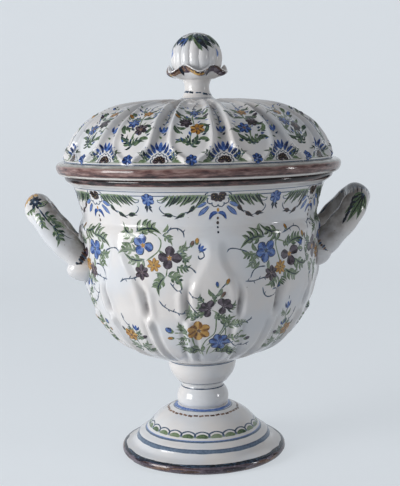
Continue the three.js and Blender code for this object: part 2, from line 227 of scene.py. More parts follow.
def glaze_surface(material, colour):
    """Closes a glazed material: the gloss, with the long waves and fine orange peel of a thick glaze."""
    place = add(material, "ShaderNodeTexCoord").outputs["Object"]
    waves = add(material, "ShaderNodeTexNoise", {"Scale": 1 / (WAVE_LENGTH * MM), "Detail": 2.0},
                Vector=place)
    peel = add(material, "ShaderNodeTexNoise", {"Scale": 1 / (PEEL_LENGTH * MM), "Detail": 1.0},
               Vector=place)
    long_bump = add(material, "ShaderNodeBump", {"Strength": 0.5, "Distance": WAVE_DEPTH * MM},
                    Height=waves.outputs["Fac"])
    bump = add(material, "ShaderNodeBump", {"Strength": 0.35, "Distance": PEEL_DEPTH * MM},
               Height=peel.outputs["Fac"], Normal=long_bump.outputs["Normal"])
    spread = add(material, "ShaderNodeMapRange", {"To Min": GLOSSIEST, "To Max": DULLEST},
                 Value=waves.outputs["Fac"])
    shader = add(material, "ShaderNodeBsdfPrincipled", {"IOR": GLAZE_IOR},
                 Base_Color=colour, Roughness=spread.outputs["Result"], Normal=bump.outputs["Normal"])
    add(material, "ShaderNodeOutputMaterial", {}, Surface=shader.outputs["BSDF"])
    return material


def tin_glaze_colour(material, hollow=POOL_AND_SHADE_GREY):
    """The glaze's colour, greyed in the hollows by its pooling and by painted shade, and its pinholes."""
    place = add(material, "ShaderNodeTexCoord").outputs["Object"]
    cloud = add(material, "ShaderNodeTexNoise", {"Scale": 1 / (CLOUD_LENGTH * MM), "Detail": 3.0},
                Vector=place)
    body = add(material, "ShaderNodeValToRGB", {"stops": CLOUD_COLOURS}, Fac=cloud.outputs["Fac"])
    pool = add(material, "ShaderNodeAttribute", {"attribute_name": "pool"})
    blots = add(material, "ShaderNodeTexNoise", {"Scale": 1 / (BLOT_LENGTH * MM), "Detail": 4.0},
                Vector=place)
    mottle = add(material, "ShaderNodeMapRange",
                 {"From Min": 0.35, "From Max": 0.65, "To Min": 0.6, "To Max": 1.25},
                 Value=blots.outputs["Fac"])
    depth = add(material, "ShaderNodeMath", {"operation": "MULTIPLY"},
                at0=pool.outputs["Fac"], at1=mottle.outputs["Result"])
    pooled_and_shaded = add(material, "ShaderNodeMix", {"data_type": "RGBA", MIX_OVER: linear(hollow)},
                 at0=depth.outputs["Value"], at6=body.outputs["Color"])
    cells = add(material, "ShaderNodeTexVoronoi", {"Scale": 1 / (PINHOLE_SPACING * MM)}, Vector=place)
    shade = add(material, "ShaderNodeSeparateColor", {}, Color=cells.outputs["Color"])
    size = add(material, "ShaderNodeMapRange",
               {"From Min": 0.55, "From Max": 1.0, "To Min": 0.0, "To Max": 0.055},
               Value=shade.outputs["Red"])
    hole = add(material, "ShaderNodeMath", {"operation": "LESS_THAN"},
               at0=cells.outputs["Distance"], at1=size.outputs["Result"])
    pierced = add(material, "ShaderNodeMix", {"data_type": "RGBA", MIX_OVER: linear(PINHOLE_BROWN)},
                  at0=hole.outputs["Value"], at6=pooled_and_shaded.outputs[MIX_RESULT])
    return pierced.outputs[MIX_RESULT]


tin_glaze = new_material("tin_glaze")
glaze_surface(tin_glaze, tin_glaze_colour(tin_glaze))

foot_outer = spline(FOOT_OUTSIDE[:-1], FOOT_FINENESS)
turned("foot_clay", np.vstack([foot_outer, FOOT_OUTSIDE[-1:], FOOT_INSIDE]), FOOT_STEPS,
       "vase", tin_glaze, ["foot"])

# Painting: flowers and lines brushed on the raw glaze in metal oxides, which sank into it in the firing.
# Each stroke is a thin lens of colour bedded in the glaze, dense in the middle and bled out along its rim.
# The colours run from the bled rim, through the wash, to the thick end of a stroke. The brush's streaks are
# drawn coarser than real ones, so that they show. Lengths are in millimetres.
PIGMENTS = {
    "blue": ("cobalt_blue", "#c6cfe0", "#8ba0cb", "#4067ae", "#244080", "#111c42"),
    "ochre": ("antimony_ochre", "#ddd5c2", "#cda962", "#b58030", "#875720", "#452c18"),
    "green": ("copper_green", "#ced3cd", "#9aa692", "#687d59", "#3a5140", "#17272a"),
    "purple": ("manganese_purple", "#d2cccf", "#776c77", "#40353f", "#281f28", "#140f12"),
    "brown": ("iron_brown", "#d6cec7", "#967864", "#5c443a", "#382722", "#1a1110"),
    "line": ("blue_black_line", "#cdd1d8", "#73859b", "#33465c", "#1c2735", "#0d1017"),
}
STOPS = (0.0, 0.28, 0.6, 0.82, 1.0)
BRUSH_STREAK = 2.2
RIM_LIFT = -0.02
STROKE_LIFT = 0.07
STROKE_ORDER = 0.007
ORDERS = 9
STROKE_BED = -0.3
FINE_STROKE = 1.5
WIDE_STROKE = 2.4
BLED_RIM = 0.3
FINE_RIM = 0.65
INNER_REACH = 0.72
ROW_SPACING = 1.1
FEWEST_ROWS = 6
MOST_ROWS = 48
THINNEST_HALF = 0.02
NORMAL_STEP = 0.15
CELL_EDGE = 0.06
CELL_TOP = 0.82
CELL_UNDER = 0.86
RING_ROWS = 280

# A brush gives a stroke's width as a share of the widest, from its root to its tip.
BRUSH = {
    "leaf": lambda t: np.sin(math.pi * t ** 0.8),
    "petal": lambda t: np.sin(math.pi * t ** 0.9) ** 0.55 * (0.7 + 0.3 * t),
    "comma": lambda t: np.minimum(1, 9 * t) ** 0.5 * (1 - t) ** 0.7,
    "line": lambda t: np.minimum(1, 12 * np.minimum(t, 1 - t)) ** 0.5 * (1 + 0.15 * np.sin(9 * t)),
    "ring": lambda t: 1 + 0.07 * np.sin(2 * math.pi * 9 * t) + 0.06 * np.sin(2 * math.pi * 23 * t + 1),
}
hand = np.random.default_rng(11)
strokes = {}


def pigment_material(name, *colours):
    """A metal oxide under the glaze's gloss, streaked by the brush and denser where the stroke is thick."""
    material = new_material(name)
    place = add(material, "ShaderNodeTexCoord").outputs["Object"]
    streak = add(material, "ShaderNodeTexNoise", {"Scale": 1 / (BRUSH_STREAK * MM), "Detail": 3.0},
                 Vector=place)
    uneven = add(material, "ShaderNodeMapRange",
                 {"From Min": 0.3, "From Max": 0.7, "To Min": 0.78, "To Max": 1.18},
                 Value=streak.outputs["Fac"])
    dose = add(material, "ShaderNodeAttribute", {"attribute_name": "dose"})
    load = add(material, "ShaderNodeMath", {"operation": "MULTIPLY"},
               at0=dose.outputs["Fac"], at1=uneven.outputs["Result"])
    colour = add(material, "ShaderNodeValToRGB", {"stops": list(zip(STOPS, colours))},
                 Fac=load.outputs["Value"])
    return glaze_surface(material, colour.outputs["Color"])


oxides = {key: pigment_material(*row) for key, row in PIGMENTS.items()}


class Skin:
    """The outer face of a wall, reached by an angle round it and a length up its outline."""

    def __init__(self, line, relief=None, bend=None):
        """From the wall's outline, how far it stands out from that, and how it was bent afterwards."""
        run = np.gradient(line, axis=0)
        run /= np.linalg.norm(run, axis=1)[:, None]
        self.line = line
        self.out = np.stack([run[:, 1], -run[:, 0]], axis=1)
        self.length = run_lengths(line)
        self.relief = relief
        self.bend = bend

    def radius(self, length):
        """The wall's radius at a length up its outline."""
        return np.interp(length, self.length, self.line[:, 0])

    def length_at(self, z):
        """The length up the outline where a height is reached first."""
        return self.length[np.argmax(self.line[:, 1] >= z)]

    def at(self, angle, length, lift=0.0):
        """A place on the wall, or lifted off it."""
        r, z = (np.interp(length, self.length, self.line[:, k]) for k in (0, 1))
        out, up = (np.interp(length, self.length, self.out[:, k]) for k in (0, 1))
        height = lift + (self.relief(angle, r, z) if self.relief else 0)
        r, z = r + height * out, z + height * up
        points = np.stack([r * np.sin(angle), -r * np.cos(angle), z + 0 * angle], axis=-1)
        return self.bend(points) if self.bend else points

    def patch(self, degrees, length):
        """A patch to paint on: x runs round the wall and y up it, in millimetres from the given place."""
        def place(x, y, lift=0.0):
            return self.at(math.radians(degrees) + x / self.radius(length + y), length + y, lift)
        return place


def placed(patch, x, y, turn=0, size=1, mirror=1):
    """A patch within a patch, turned anticlockwise by degrees, scaled and perhaps mirrored."""
    c, s = size * math.cos(math.radians(turn)), size * math.sin(math.radians(turn))
    return lambda u, v, lift=0.0: patch(x + mirror * u * c - v * s, y + mirror * u * s + v * c, lift)


def dab(patch, pigment, points, width, shape="leaf", dose=0.7, layer=1, rows=None):
    """One stroke of the brush through the points, kept for the next piece that is painted."""
    line = spline(points, 0.4)
    length = run_lengths(line)
    rows = rows or int(np.clip(length[-1] / ROW_SPACING, FEWEST_ROWS, MOST_ROWS))
    share = (1 - np.cos(np.linspace(0, math.pi, rows))) / 2 if shape != "ring" else np.linspace(0, 1, rows)
    x, y = (np.interp(share * length[-1], length, line[:, k]) for k in (0, 1))
    run = np.stack([np.gradient(x), np.gradient(y)])
    run /= np.hypot(*run) + 1e-9
    half = np.clip(width / 2 * BRUSH[shape](share), THINNEST_HALF, None)

    # Its points across: one rim, the inner ones on top, the other rim, and those of its underside.
    fine = width <= FINE_STROKE
    inner = np.zeros(1) if fine else np.linspace(-INNER_REACH, INNER_REACH, math.ceil(width / FINE_STROKE))
    below = inner[::-1] if width > WIDE_STROKE else np.zeros(1)
    across = np.array([-1, *inner, 1, *below])
    top = STROKE_LIFT * layer + STROKE_ORDER * (sum(len(laid) for laid in strokes.values()) % ORDERS)
    lift = np.array([RIM_LIFT, *(top + 0 * inner), RIM_LIFT, *(STROKE_BED + 0 * below)])
    x = x[:, None] - (run[1] * half)[:, None] * across
    y = y[:, None] + (run[0] * half)[:, None] * across

    # The underside follows the skin as the top does, so each point is lifted along the skin's own normal.
    skin = patch(x, y)
    normal = np.cross(patch(x + NORMAL_STEP, y) - skin, patch(x, y + NORMAL_STEP) - skin)
    normal /= np.linalg.norm(normal, axis=2)[:, :, None] + 1e-12
    middle = (rows // 2, 2)
    mirrored = normal[middle] @ (patch(x[middle], y[middle], 1.0) - skin[middle]) < 0
    if mirrored:
        normal = -normal

    # The oxide is thinnest at the rims and at both ends, and thickest beside the rims and towards the tip.
    bled = FINE_RIM if fine else BLED_RIM
    rim = np.array([bled, *np.interp(np.abs(inner), [0, INNER_REACH], [0.85, 1.05]), bled, *(1 + 0 * below)])
    ends = np.clip(0.35 + 5 * np.minimum(share, 1 - share), 0, 1) if shape != "ring" else 1 + 0 * share
    strength = dose * ((0.85 + 0.2 * share) * ends)[:, None] * rim
    faces = grid_faces(rows, len(across), False)
    cell = stroke_cell(rows, len(inner) + 1, len(below) + 1)
    if not mirrored:
        faces, cell = faces[:, ::-1], cell[:, ::-1]
    strokes.setdefault(pigment, []).append((skin + normal * lift[:, None], normal, strength, faces, cell))


def stroke_cell(rows, above, under):
    """Where a stroke's faces lie on its square of the bake map: its top beside its underside."""
    edges = np.concatenate([np.linspace(0, CELL_TOP, above + 1), np.linspace(CELL_UNDER, 1, under + 1)])
    left, right = np.delete(edges, [above, above + under + 1]), np.delete(edges, [0, above + 1])
    low = np.arange(rows - 1)[:, None] / (rows - 1)
    high, flat = low + 1 / (rows - 1), np.zeros((rows - 1, above + under))
    u, v = [left, right, right, left], [low, low, high, high]
    corners = [np.stack([u[k] + flat, v[k] + flat], axis=-1) for k in range(4)]
    return np.stack(corners, axis=2).reshape(-1, 4, 2)


def paint(name, body):
    """Makes a piece of each pigment's strokes since the last call. Each stroke has its square of the map."""
    for pigment, laid in sorted(strokes.items()):
        vertices, normals = (np.concatenate([part[k].reshape(-1, 3) for part in laid]) for k in (0, 1))
        starts = np.cumsum([0] + [part[2].size for part in laid])
        faces = np.concatenate([part[3] + start for part, start in zip(laid, starts)])
        piece = new_piece(f"{name}_{pigment}", vertices, faces, body, oxides[pigment])
        piece.data.normals_split_custom_set_from_vertices(normals.tolist())
        mark(piece, "dose", np.concatenate([part[2].ravel() for part in laid]))
        side = math.ceil(math.sqrt(len(laid)))
        squares = [(np.array([k % side, k // side]) + CELL_EDGE + (1 - 2 * CELL_EDGE) * part[4]) / side
                   for k, part in enumerate(laid)]
        piece.data.uv_layers.new(name="OFBake").data.foreach_set("uv", np.concatenate(squares).ravel())
    strokes.clear()


def ring(skin, pigment, z, width, dose=0.7, layer=1, sway=0.25):
    """A line banded on the turning wheel, a little unsteady."""
    length = skin.length_at(z)
    reach = math.pi * skin.radius(length)
    x = np.linspace(-reach, reach, 49)
    y = sway * np.sin(3 * x / reach * math.pi + z)
    dab(skin.patch(0, length), pigment, np.stack([x, y], axis=1), width, "ring", dose, layer, RING_ROWS)


# The foot's rolled edge: a wash of manganese, then short dabs, then dark strokes over its upper side.
EDGE_DABS = 110
EDGE_STROKES = 60
EDGE_TOP = 7.6
foot_skin = Skin(foot_outer)
ring(foot_skin, "purple", 3.8, 11, 0.5)
for k in range(EDGE_DABS):
    patch = foot_skin.patch(hand.uniform(0, 360), foot_skin.length_at(1 + 6 * hand.random()))
    reach = hand.uniform(3, 12)
    dab(patch, ("brown", "purple")[k % 2], [(-reach, hand.normal(0, 0.5)), (reach, hand.normal(0, 0.5))],
        hand.uniform(1, 4), "leaf", hand.uniform(0.3, 0.95), 2 + k % 2)
ring(foot_skin, "line", 7.4, 2.6, 0.9, 3, 0.4)
for k in range(EDGE_STROKES):
    patch = foot_skin.patch(360 / EDGE_STROKES * k, foot_skin.length_at(EDGE_TOP))
    dab(patch, "line", [(x, hand.normal(0, 0.6)) for x in (-13, 0, 13)],
        hand.uniform(1.4, 3.6), "leaf", hand.uniform(0.8, 1.05), 4)

# The lines banded on the foot: pigment, height, width, dose and layer.
FOOT_LINES = (("line", 15.9, 4, 0.44, 1), ("line", 16.7, 1.2, 0.62, 2), ("line", 21.4, 2.2, 0.44, 1),
              ("blue", 21.8, 1.2, 0.5, 2), ("blue", 41.2, 3.2, 0.62, 1), ("line", 40.4, 1.1, 0.5, 2))
for row in FOOT_LINES:
    ring(foot_skin, *row)

# A band of green half rounds under white scallops, with a dark arc over each, and a broken dark line above.
FOOT_SCALLOPS = 24
SCALLOP_FOOT = 23.6
DASHES = 40
DASH_HEIGHT = 38.2
for k in range(FOOT_SCALLOPS):
    arch = foot_skin.patch(360 * (k + 0.5) / FOOT_SCALLOPS, foot_skin.length_at(SCALLOP_FOOT))
    dab(arch, "green", [(-5.6, 1), (0, 2.4), (5.6, 1)], 5, "petal", hand.uniform(0.5, 0.85))
    dab(arch, "line", [(-6.9, 0.4), (-5.6, 4.4), (0, 6.4), (5.6, 4.4), (6.9, 0.4)], 1.4, "line", 0.72, 2)
for k in range(DASHES):
    dash = foot_skin.patch(360 * k / DASHES, foot_skin.length_at(DASH_HEIGHT))
    for pigment, width in (("line", 1.3), ("brown", 2.1)):
        dab(dash, pigment, [(x, hand.normal(0, 0.4)) for x in (-2.1, 2)], width, "line",
            hand.uniform(0.4, 0.8), 2 if pigment == "brown" else 1)
paint("foot_painting", "vase")

# Stem: a thrown knop with a bore and the small cup that carries the bowl, luted on the foot.
# Both are tin-glazed earthenware like the foot, and dark lines are banded where they join.
KNOP_OUTLINE = [(20.4, 42), (22.2, 44.2), (22.8, 47.5), (22.6, 51), (21.2, 54.8), (18.6, 58.6), (18.2, 59.8)]
SOCKET_OUTLINE = [(18.2, 60), (18.6, 61.6), (21, 63), (23.4, 65.4), (27.2, 70.8), (29.4, 77), (29.9, 83.2)]
STEM_BORE = 9
KNOP_INSIDE = [(STEM_BORE, 59.8), (STEM_BORE, 42)]
SOCKET_INSIDE = [(18, 83.2), (STEM_BORE, 70), (STEM_BORE, 60)]
STEM_FINENESS = 0.6
STEM_STEPS = 160

knop_outer, socket_outer = spline(KNOP_OUTLINE, STEM_FINENESS), spline(SOCKET_OUTLINE, STEM_FINENESS)
for piece_name, outside, inside in (("stem_knop", knop_outer, KNOP_INSIDE),
                                    ("stem_socket", socket_outer, SOCKET_INSIDE)):
    turned(f"{piece_name}_clay", np.vstack([outside, inside]), STEM_STEPS,
           "vase", tin_glaze, [piece_name])
ring(Skin(knop_outer), "line", 58.6, 1.3, 0.8, sway=0.1)
ring(Skin(socket_outer), "line", 63.8, 1.2, 0.85, sway=0.1)
ring(Skin(socket_outer), "line", 82.2, 1.1, 0.6, sway=0.1)
paint("stem_painting", "vase")

# Bowl: earthenware pressed in a mould. Eight ogee panels stand out between plain fields, with a fluted
# groove and a bead down each of their sides. The collar above is thrown, and luted on at the ridge.
# Half widths are in degrees, heights and depths in millimetres.
PANELS = 8
PANEL_HALF = 12.3
NECK_HALF = 3.7
PANEL_SHOULDER = 153
PANEL_POINT = 190
PANEL_RISE = 2.4
FLUTE_FOOT = 134
FLUTE_TOP = 166
FLUTE_DEPTH = 3
FLUTE_WIDTH = 2.5
BEAD_RISE = 1.3
BEAD_OFFSET = 5.8
BEAD_WIDTH = 3
INNER_BEAD_SHARE = 0.55
INNER_BEAD_WIDTH = 3.2
RIB_FOOT = (88, 100)
RIB_RISE = 1.3
RIB_WIDTH = 2.6
RIB_SIDES = 5
RIB_SIDE_DEPTH = 1.1
RIB_SIDE_WIDTH = 2.2
DROP_RISE = 1.6
DROP_WIDTH = 3.6
DROP_HALF_HEIGHT = 6
DROP_HEIGHT = 131
EDGE_SLOPE = 4.5
PLAIN_FOOT = 87
BOWL_BOTTOM = 83.4
RIDGE = 202.6
COLLAR_TOP = 240.4
BOWL_OUTLINE = [(29.6, BOWL_BOTTOM), (42, 87.6), (57, 93.8), (71.4, 102.5), (82.2, 113.5), (90.3, 127),
                (96.2, 142), (100, 158), (102, 175), (102.6, 190), (104, 199), (104.2, RIDGE)]
COLLAR_OUTLINE = [(103.4, 205.6), (101.6, 209), (101.2, 212), (103, 220.5), (105.6, 232), (108.2, 237.6),
                  (111.6, COLLAR_TOP)]
BOWL_INSIDE = [(97.4, RIDGE), (93, 158), (81.5, 127), (62, 104.5), (30, 93.5), (3, 91.5)]
COLLAR_INSIDE = [(99, COLLAR_TOP), (97, 225), (96.8, RIDGE)]
WALL_FINENESS = 0.75
INSIDE_FINENESS = 3
WALL_STEPS = 640


def panel_half(z):
    """Half the width of an ogee panel in degrees."""
    rise = np.clip((z - PANEL_SHOULDER) / (PANEL_POINT - PANEL_SHOULDER), 0, 1)
    return NECK_HALF + (PANEL_HALF - NECK_HALF) * (1 + np.cos(math.pi * rise)) / 2


def bowl_relief(angle, r, z):
    """How far the bowl's face stands out from its turned wall. Inward is how far in from a panel's edge.
    A flute runs up that edge between two beads. It ends below in a drop, from which a rib runs down."""
    period = 2 * math.pi / PANELS
    off_middle = np.abs((angle + period / 2) % period - period / 2)
    inward = (np.radians(panel_half(z)) - off_middle) * r
    arch = smooth(z, PANEL_SHOULDER - 10, PANEL_SHOULDER + 10) * (1 - smooth(z, RIDGE - 12, RIDGE))
    flute = smooth(z, FLUTE_FOOT - 4, FLUTE_FOOT + 10) * (1 - smooth(z, FLUTE_TOP - 12, FLUTE_TOP + 6))
    rib = smooth(z, *RIB_FOOT) * (1 - smooth(z, FLUTE_FOOT - 6, FLUTE_FOOT + 4))
    drop = hump(inward, DROP_WIDTH) * hump(z - DROP_HEIGHT, DROP_HALF_HEIGHT)
    raised = PANEL_RISE * arch * smooth(inward, -EDGE_SLOPE, EDGE_SLOPE)
    outer_bead = hump(inward + BEAD_OFFSET, BEAD_WIDTH)
    beads = outer_bead + INNER_BEAD_SHARE * hump(inward - BEAD_OFFSET, INNER_BEAD_WIDTH)
    fluted = flute * (BEAD_RISE * beads - FLUTE_DEPTH * hump(inward, FLUTE_WIDTH))
    sides = hump(np.abs(inward) - RIB_SIDES, RIB_SIDE_WIDTH)
    ribbed = rib * (RIB_RISE * hump(inward, RIB_WIDTH) - RIB_SIDE_DEPTH * sides)
    return (raised + fluted + ribbed + DROP_RISE * drop) * smooth(z, BOWL_BOTTOM, PLAIN_FOOT)


wall = Skin(spline(BOWL_OUTLINE + COLLAR_OUTLINE, WALL_FINENESS), bowl_relief)
ridge_row = int(np.argmin(np.abs(wall.line[:, 1] - RIDGE)))


def shell(name, skin, rows, inside, steps, body, nodes, pool=None):
    """A piece with some rows of a skin as its outside and a plain turned inside."""
    angle = np.linspace(0, 2 * math.pi, steps, endpoint=False)
    outside = [skin.at(angle, skin.length[row]) for row in rows]
    points = np.concatenate([outside, turned_points(inside, steps)])
    vertices = points.reshape(-1, 3)
    piece = new_piece(name, vertices, outward(vertices, grid_faces(len(points), steps, True)),
                      body, tin_glaze, nodes)
    if pool:
        pooled_and_shaded = [pool(angle, *skin.line[row]) for row in rows]
        mark(piece, "pool", np.concatenate([pooled_and_shaded, np.zeros((len(inside), steps))]))
    return piece


def flute_pool_and_shade(angle, r, z):
    """How far the flutes are greyed, by the glaze's pooling there and by painted shade."""
    return np.clip(-1.1 * bowl_relief(angle, r, z) / FLUTE_DEPTH, 0, 1) ** 1.6


shell("bowl_clay", wall, range(ridge_row + 1), spline(BOWL_INSIDE, INSIDE_FINENESS), WALL_STEPS,
      "vase", ["bowl"], flute_pool_and_shade)
shell("collar_clay", wall, range(ridge_row, len(wall.line)), spline(COLLAR_INSIDE, INSIDE_FINENESS),
      WALL_STEPS, "vase", ["collar"], flute_pool_and_shade)

# The painter's flowers, leaves and tendrils, each drawn upwards from the middle of its patch in millimetres.
# A lobe of a leaf is given by its root's share of the spine and its reach, outwards or, if below 0, inwards.
LOBES = ((0.08, 0.5), (0.3, 0.48), (0.5, 0.4), (0.68, 0.3))
INNER_LOBES = ((0.3, -0.3), (0.55, -0.26))
OVAL_LEAF = 8.6


def leaf(patch, length, curl=1, fingers=4, dose=None):
    """A bent blade with pointed lobes, a dark vein and a dark stroke under each lobe. A short one is oval."""
    dose = dose or hand.uniform(0.38, 0.66)
    bend = 0.42 * length * curl
    spine = [(0, 0), (-0.04 * bend, 0.35 * length), (0.25 * bend, 0.72 * length), (bend, length)]
    if length < OVAL_LEAF:
        dab(patch, "green", spine, 0.46 * length, "leaf", dose)
        under = [(x + 0.13 * length * math.sin(math.pi * y / length), y) for x, y in spine]
        dab(patch, "line", under, 0.09 * length + 0.5, "comma", 1, 2)
        dab(patch, "green", spine[:3], 0.1 * length + 0.3, "comma", 1, 3)
        return
    dab(patch, "green", spine, 0.25 * length, "leaf", dose)
    for k, (share, reach) in enumerate(LOBES[:fingers] + INNER_LOBES):
        root = (0.4 * bend * share ** 2, share * length)
        reach *= length * hand.uniform(0.85, 1.15)
        lean = math.radians(60 - 34 * share + hand.normal(0, 6))
        tip = (root[0] - curl * reach * math.sin(lean), root[1] + abs(reach) * math.cos(lean))
        middle = (0.45 * root[0] + 0.55 * tip[0] - 0.1 * curl * reach, (root[1] + tip[1]) / 2 - 0.04 * length)
        dab(patch, "green", [root, middle, tip], 0.185 * length, "leaf", dose * hand.uniform(0.7, 1.5))
        under = (middle[0], middle[1] - 0.06 * length)
        dab(patch, "green" if k % 3 == 1 else "line", [root, under, tip], 0.05 * length + 0.6, "comma", 1, 2)
    dab(patch, "green", spine, 0.1 * length, "leaf", 1, 2)
    dab(patch, "line", spine, 0.03 * length + 0.6, "comma", 0.95, 3)


def petals(patch, pigment, turns, start, length, width, dose, edge=None):
    """Round petals from near the middle outwards, each with a dark edge and a vein drawn over it."""
    edge = edge or pigment
    for turn in turns:
        petal = placed(patch, 0, 0, turn + hand.normal(0, 3))
        tip = start + length * hand.uniform(0.92, 1.08)
        dab(petal, pigment, [(0, start), (0, tip)], 1.12 * width, "petal", dose * hand.uniform(0.75, 1.15), 2)
        belly = start + 0.6 * length
        dab(petal, pigment, [(0.1 * width, start), (0.28 * width, belly), (0.12 * width, tip - 0.4)],
            0.4 * width, "leaf", 0.3 + dose, 3)
        bow = [(-0.2 * width, start), (-0.47 * width, belly), (0, tip - 0.2), (0.47 * width, belly),
               (0.2 * width, start)]
        dab(petal, edge, bow[:4], 0.16 * width, "line", 1.05, 3)
        dab(petal, edge, bow[2:], 0.18 * width, "comma", 1.05, 3)
        dab(petal, edge, [(0, start), (0.05 * width, start + 0.7 * length)], 0.17 * width, "comma", 0.95, 3)


def flower(patch, pigment, turns, length=8.2, width=8, heart="ochre", dose=0.6):
    """A flower of loose round petals round a dotted heart."""
    petals(patch, pigment, turns, 1.2, length, width, dose, "line" if pigment == "blue" else pigment)
    for k in range(5):
        dab(placed(patch, 0, 0, 72 * k), heart, [(0, 0.2), (0, 2.2)], 1.6, "petal", 0.62, 4)
    dab(patch, "brown", [(-0.5, 0), (0.5, 0)], 1, "petal", 0.8, 5)


def star(patch, pigment="ochre", count=7, length=4.4, width=3):
    """A small flower of narrow petals, edged with brown, round a dark heart."""
    petals(patch, pigment, [360 * k / count for k in range(count)], 0.6, length, width, 0.6, "brown")
    dab(patch, "brown", [(-0.8, 0), (0.8, 0)], 1.6, "petal", 0.9, 4)


def bud(patch, pigment, length=4.6, width=3.2):
    """A closed bud on two small green sepals."""
    petals(patch, pigment, [0], 0, length, width, 0.7, "line")
    for side in (-1, 1):
        dab(patch, "green", [(0, -1), (side * 0.5 * width, 0.35 * length)], 0.5 * width, "comma", 0.75, 3)


def tulip(patch, pigment="blue", size=1):
    """A tulip of three strokes with a dark foot."""
    patch = placed(patch, 0, 0, size=size)
    dab(patch, pigment, [(0, 0), (0, 5.6)], 3, "petal", 0.7)
    for side in (-1, 1):
        dab(patch, pigment, [(0, -0.3), (side * 2.2, 2), (side * 3, 5.6)], 2.4, "leaf", 0.9, 2)
    dab(patch, "line", [(-1, -0.6), (1, -0.6)], 1.5, "petal", 0.8, 3)


def tendril(patch, points, ticks=0, pigment="line"):
    """A hair line, with short ticks on alternate sides."""
    dab(patch, pigment, points, 1.25, "line", 0.85)
    line = spline(points, 0.5)
    for k in range(ticks):
        at = line[int((k + 0.6) / (ticks + 0.3) * (len(line) - 1))]
        side = -1 if k % 2 else 1
        dab(patch, pigment, [at, (at[0] + 1.4, at[1] + side * 2.6)], 1.5, "comma", 0.75)


HALF_FLOWER_TURNS = (-84, -50, -17, 17, 50, 84)
SCALLOP = ((-2.5, 7), (-1.9, 9), (0, 9.9), (1.9, 9), (2.5, 7))


def half_flower(patch, size=1, reach=1):
    """A dark half-round flower, edged with a white scallop, that hangs from a line or stands on one."""
    patch = placed(patch, 0, 0, size=size)
    petals(patch, "purple", HALF_FLOWER_TURNS, 0.2, 6, 4.6, 0.9, "brown")
    for turn in HALF_FLOWER_TURNS:
        petal = placed(patch, 0, 0, turn)
        dab(petal, "ochre", [(0, 3), (0, 4)], 0.9, "petal", 0.4, 4)
        dab(petal, "line", [(reach * x, reach * y) for x, y in SCALLOP], 1.1, "line", 0.85)


def leaves(patch, *rows):
    """Leaves by their root, turn from upright, length and the way they curl."""
    for x, y, turn, length, curl in rows:
        leaf(placed(patch, x, y, turn + hand.normal(0, 3)), length, curl)


def stems(patch, *lines):
    """Green stems through their points."""
    for points in lines:
        tendril(patch, points, pigment="green")


def hairs(patch, *rows):
    """Dark tendrils by the number of their ticks and their points."""
    for ticks, *points in rows:
        tendril(patch, points, ticks)


def buds(patch, *rows):
    """Buds by their place, turn, pigment, length and width."""
    for x, y, turn, *look in rows:
        bud(placed(patch, x, y, turn), *look)


# Bowl painting: two bouquets on the fields, one with a round four-petalled flower and one with a pansy.
# Every other panel carries a large bouquet and those between a small one, and sprigs fill the field ends.
def round_flower_bouquet(patch):
    """The field bouquet with a blue four-petalled flower."""
    stems(patch, [(2.5, 10), (5, 5.5), (2, -2), (-8.5, -10)], [(2.5, 10), (-4, 13), (-14, 12)],
          [(9, -12), (8.5, -18), (7.5, -22)])
    leaves(patch, (-16, 9.5, 75, 17, 1), (-17.5, -3, 72, 15, -1), (-9.5, -8.5, 98, 18, 1),
           (-17, 13, -72, 21, 1), (6, 13.5, -50, 7, -1), (6, 11, -118, 11, 1), (16.5, -2.5, -62, 12, -1),
           (19, -3.5, -138, 11, 1), (16.5, -13.5, -105, 11, -1), (8.5, -21, -110, 15, 1),
           (7.5, -21.5, 135, 17, -1), (3, -1, -150, 8, 1), (22, -8, -84, 7, -1), (-3, 12, 24, 8, 1),
           (-22, 4, 104, 8, 1), (1, -19, -160, 8, -1), (13, -22, -60, 7, 1))
    flower(placed(patch, -10.5, 2.5), "blue", (56, 2, -104, 141))
    flower(placed(patch, 11, -7), "purple", (-4, -94, 162, 85), 8.6, 7.6)
    star(placed(patch, -2, -13), "ochre", 7, 5.6, 3.2)
    star(placed(patch, -13, -19), "purple", 6, 6, 4.4)
    hairs(patch, (3, (9, 12), (12, 16), (18, 16.5), (22.5, 13), (23.5, 9)),
          (0, (23, -13.5), (28, -15), (31.5, -19)),
          (2, (10.5, -26.5), (15.5, -33), (19.5, -32), (19, -29)),
          (5, (-14.5, -21.5), (-20, -24), (-28, -25), (-33, -28)),
          (0, (19, -4), (26, 1), (31, 4)))
    buds(patch, (28.5, 2.5, -25, "brown", 5), (33, 4.5, -10, "ochre"))
    tulip(placed(patch, 35, -1, -40), "blue", 0.9)
    hairs(patch, (0, (34, -3), (37, -2), (38, -6), (34.5, -8), (33.5, -5)))


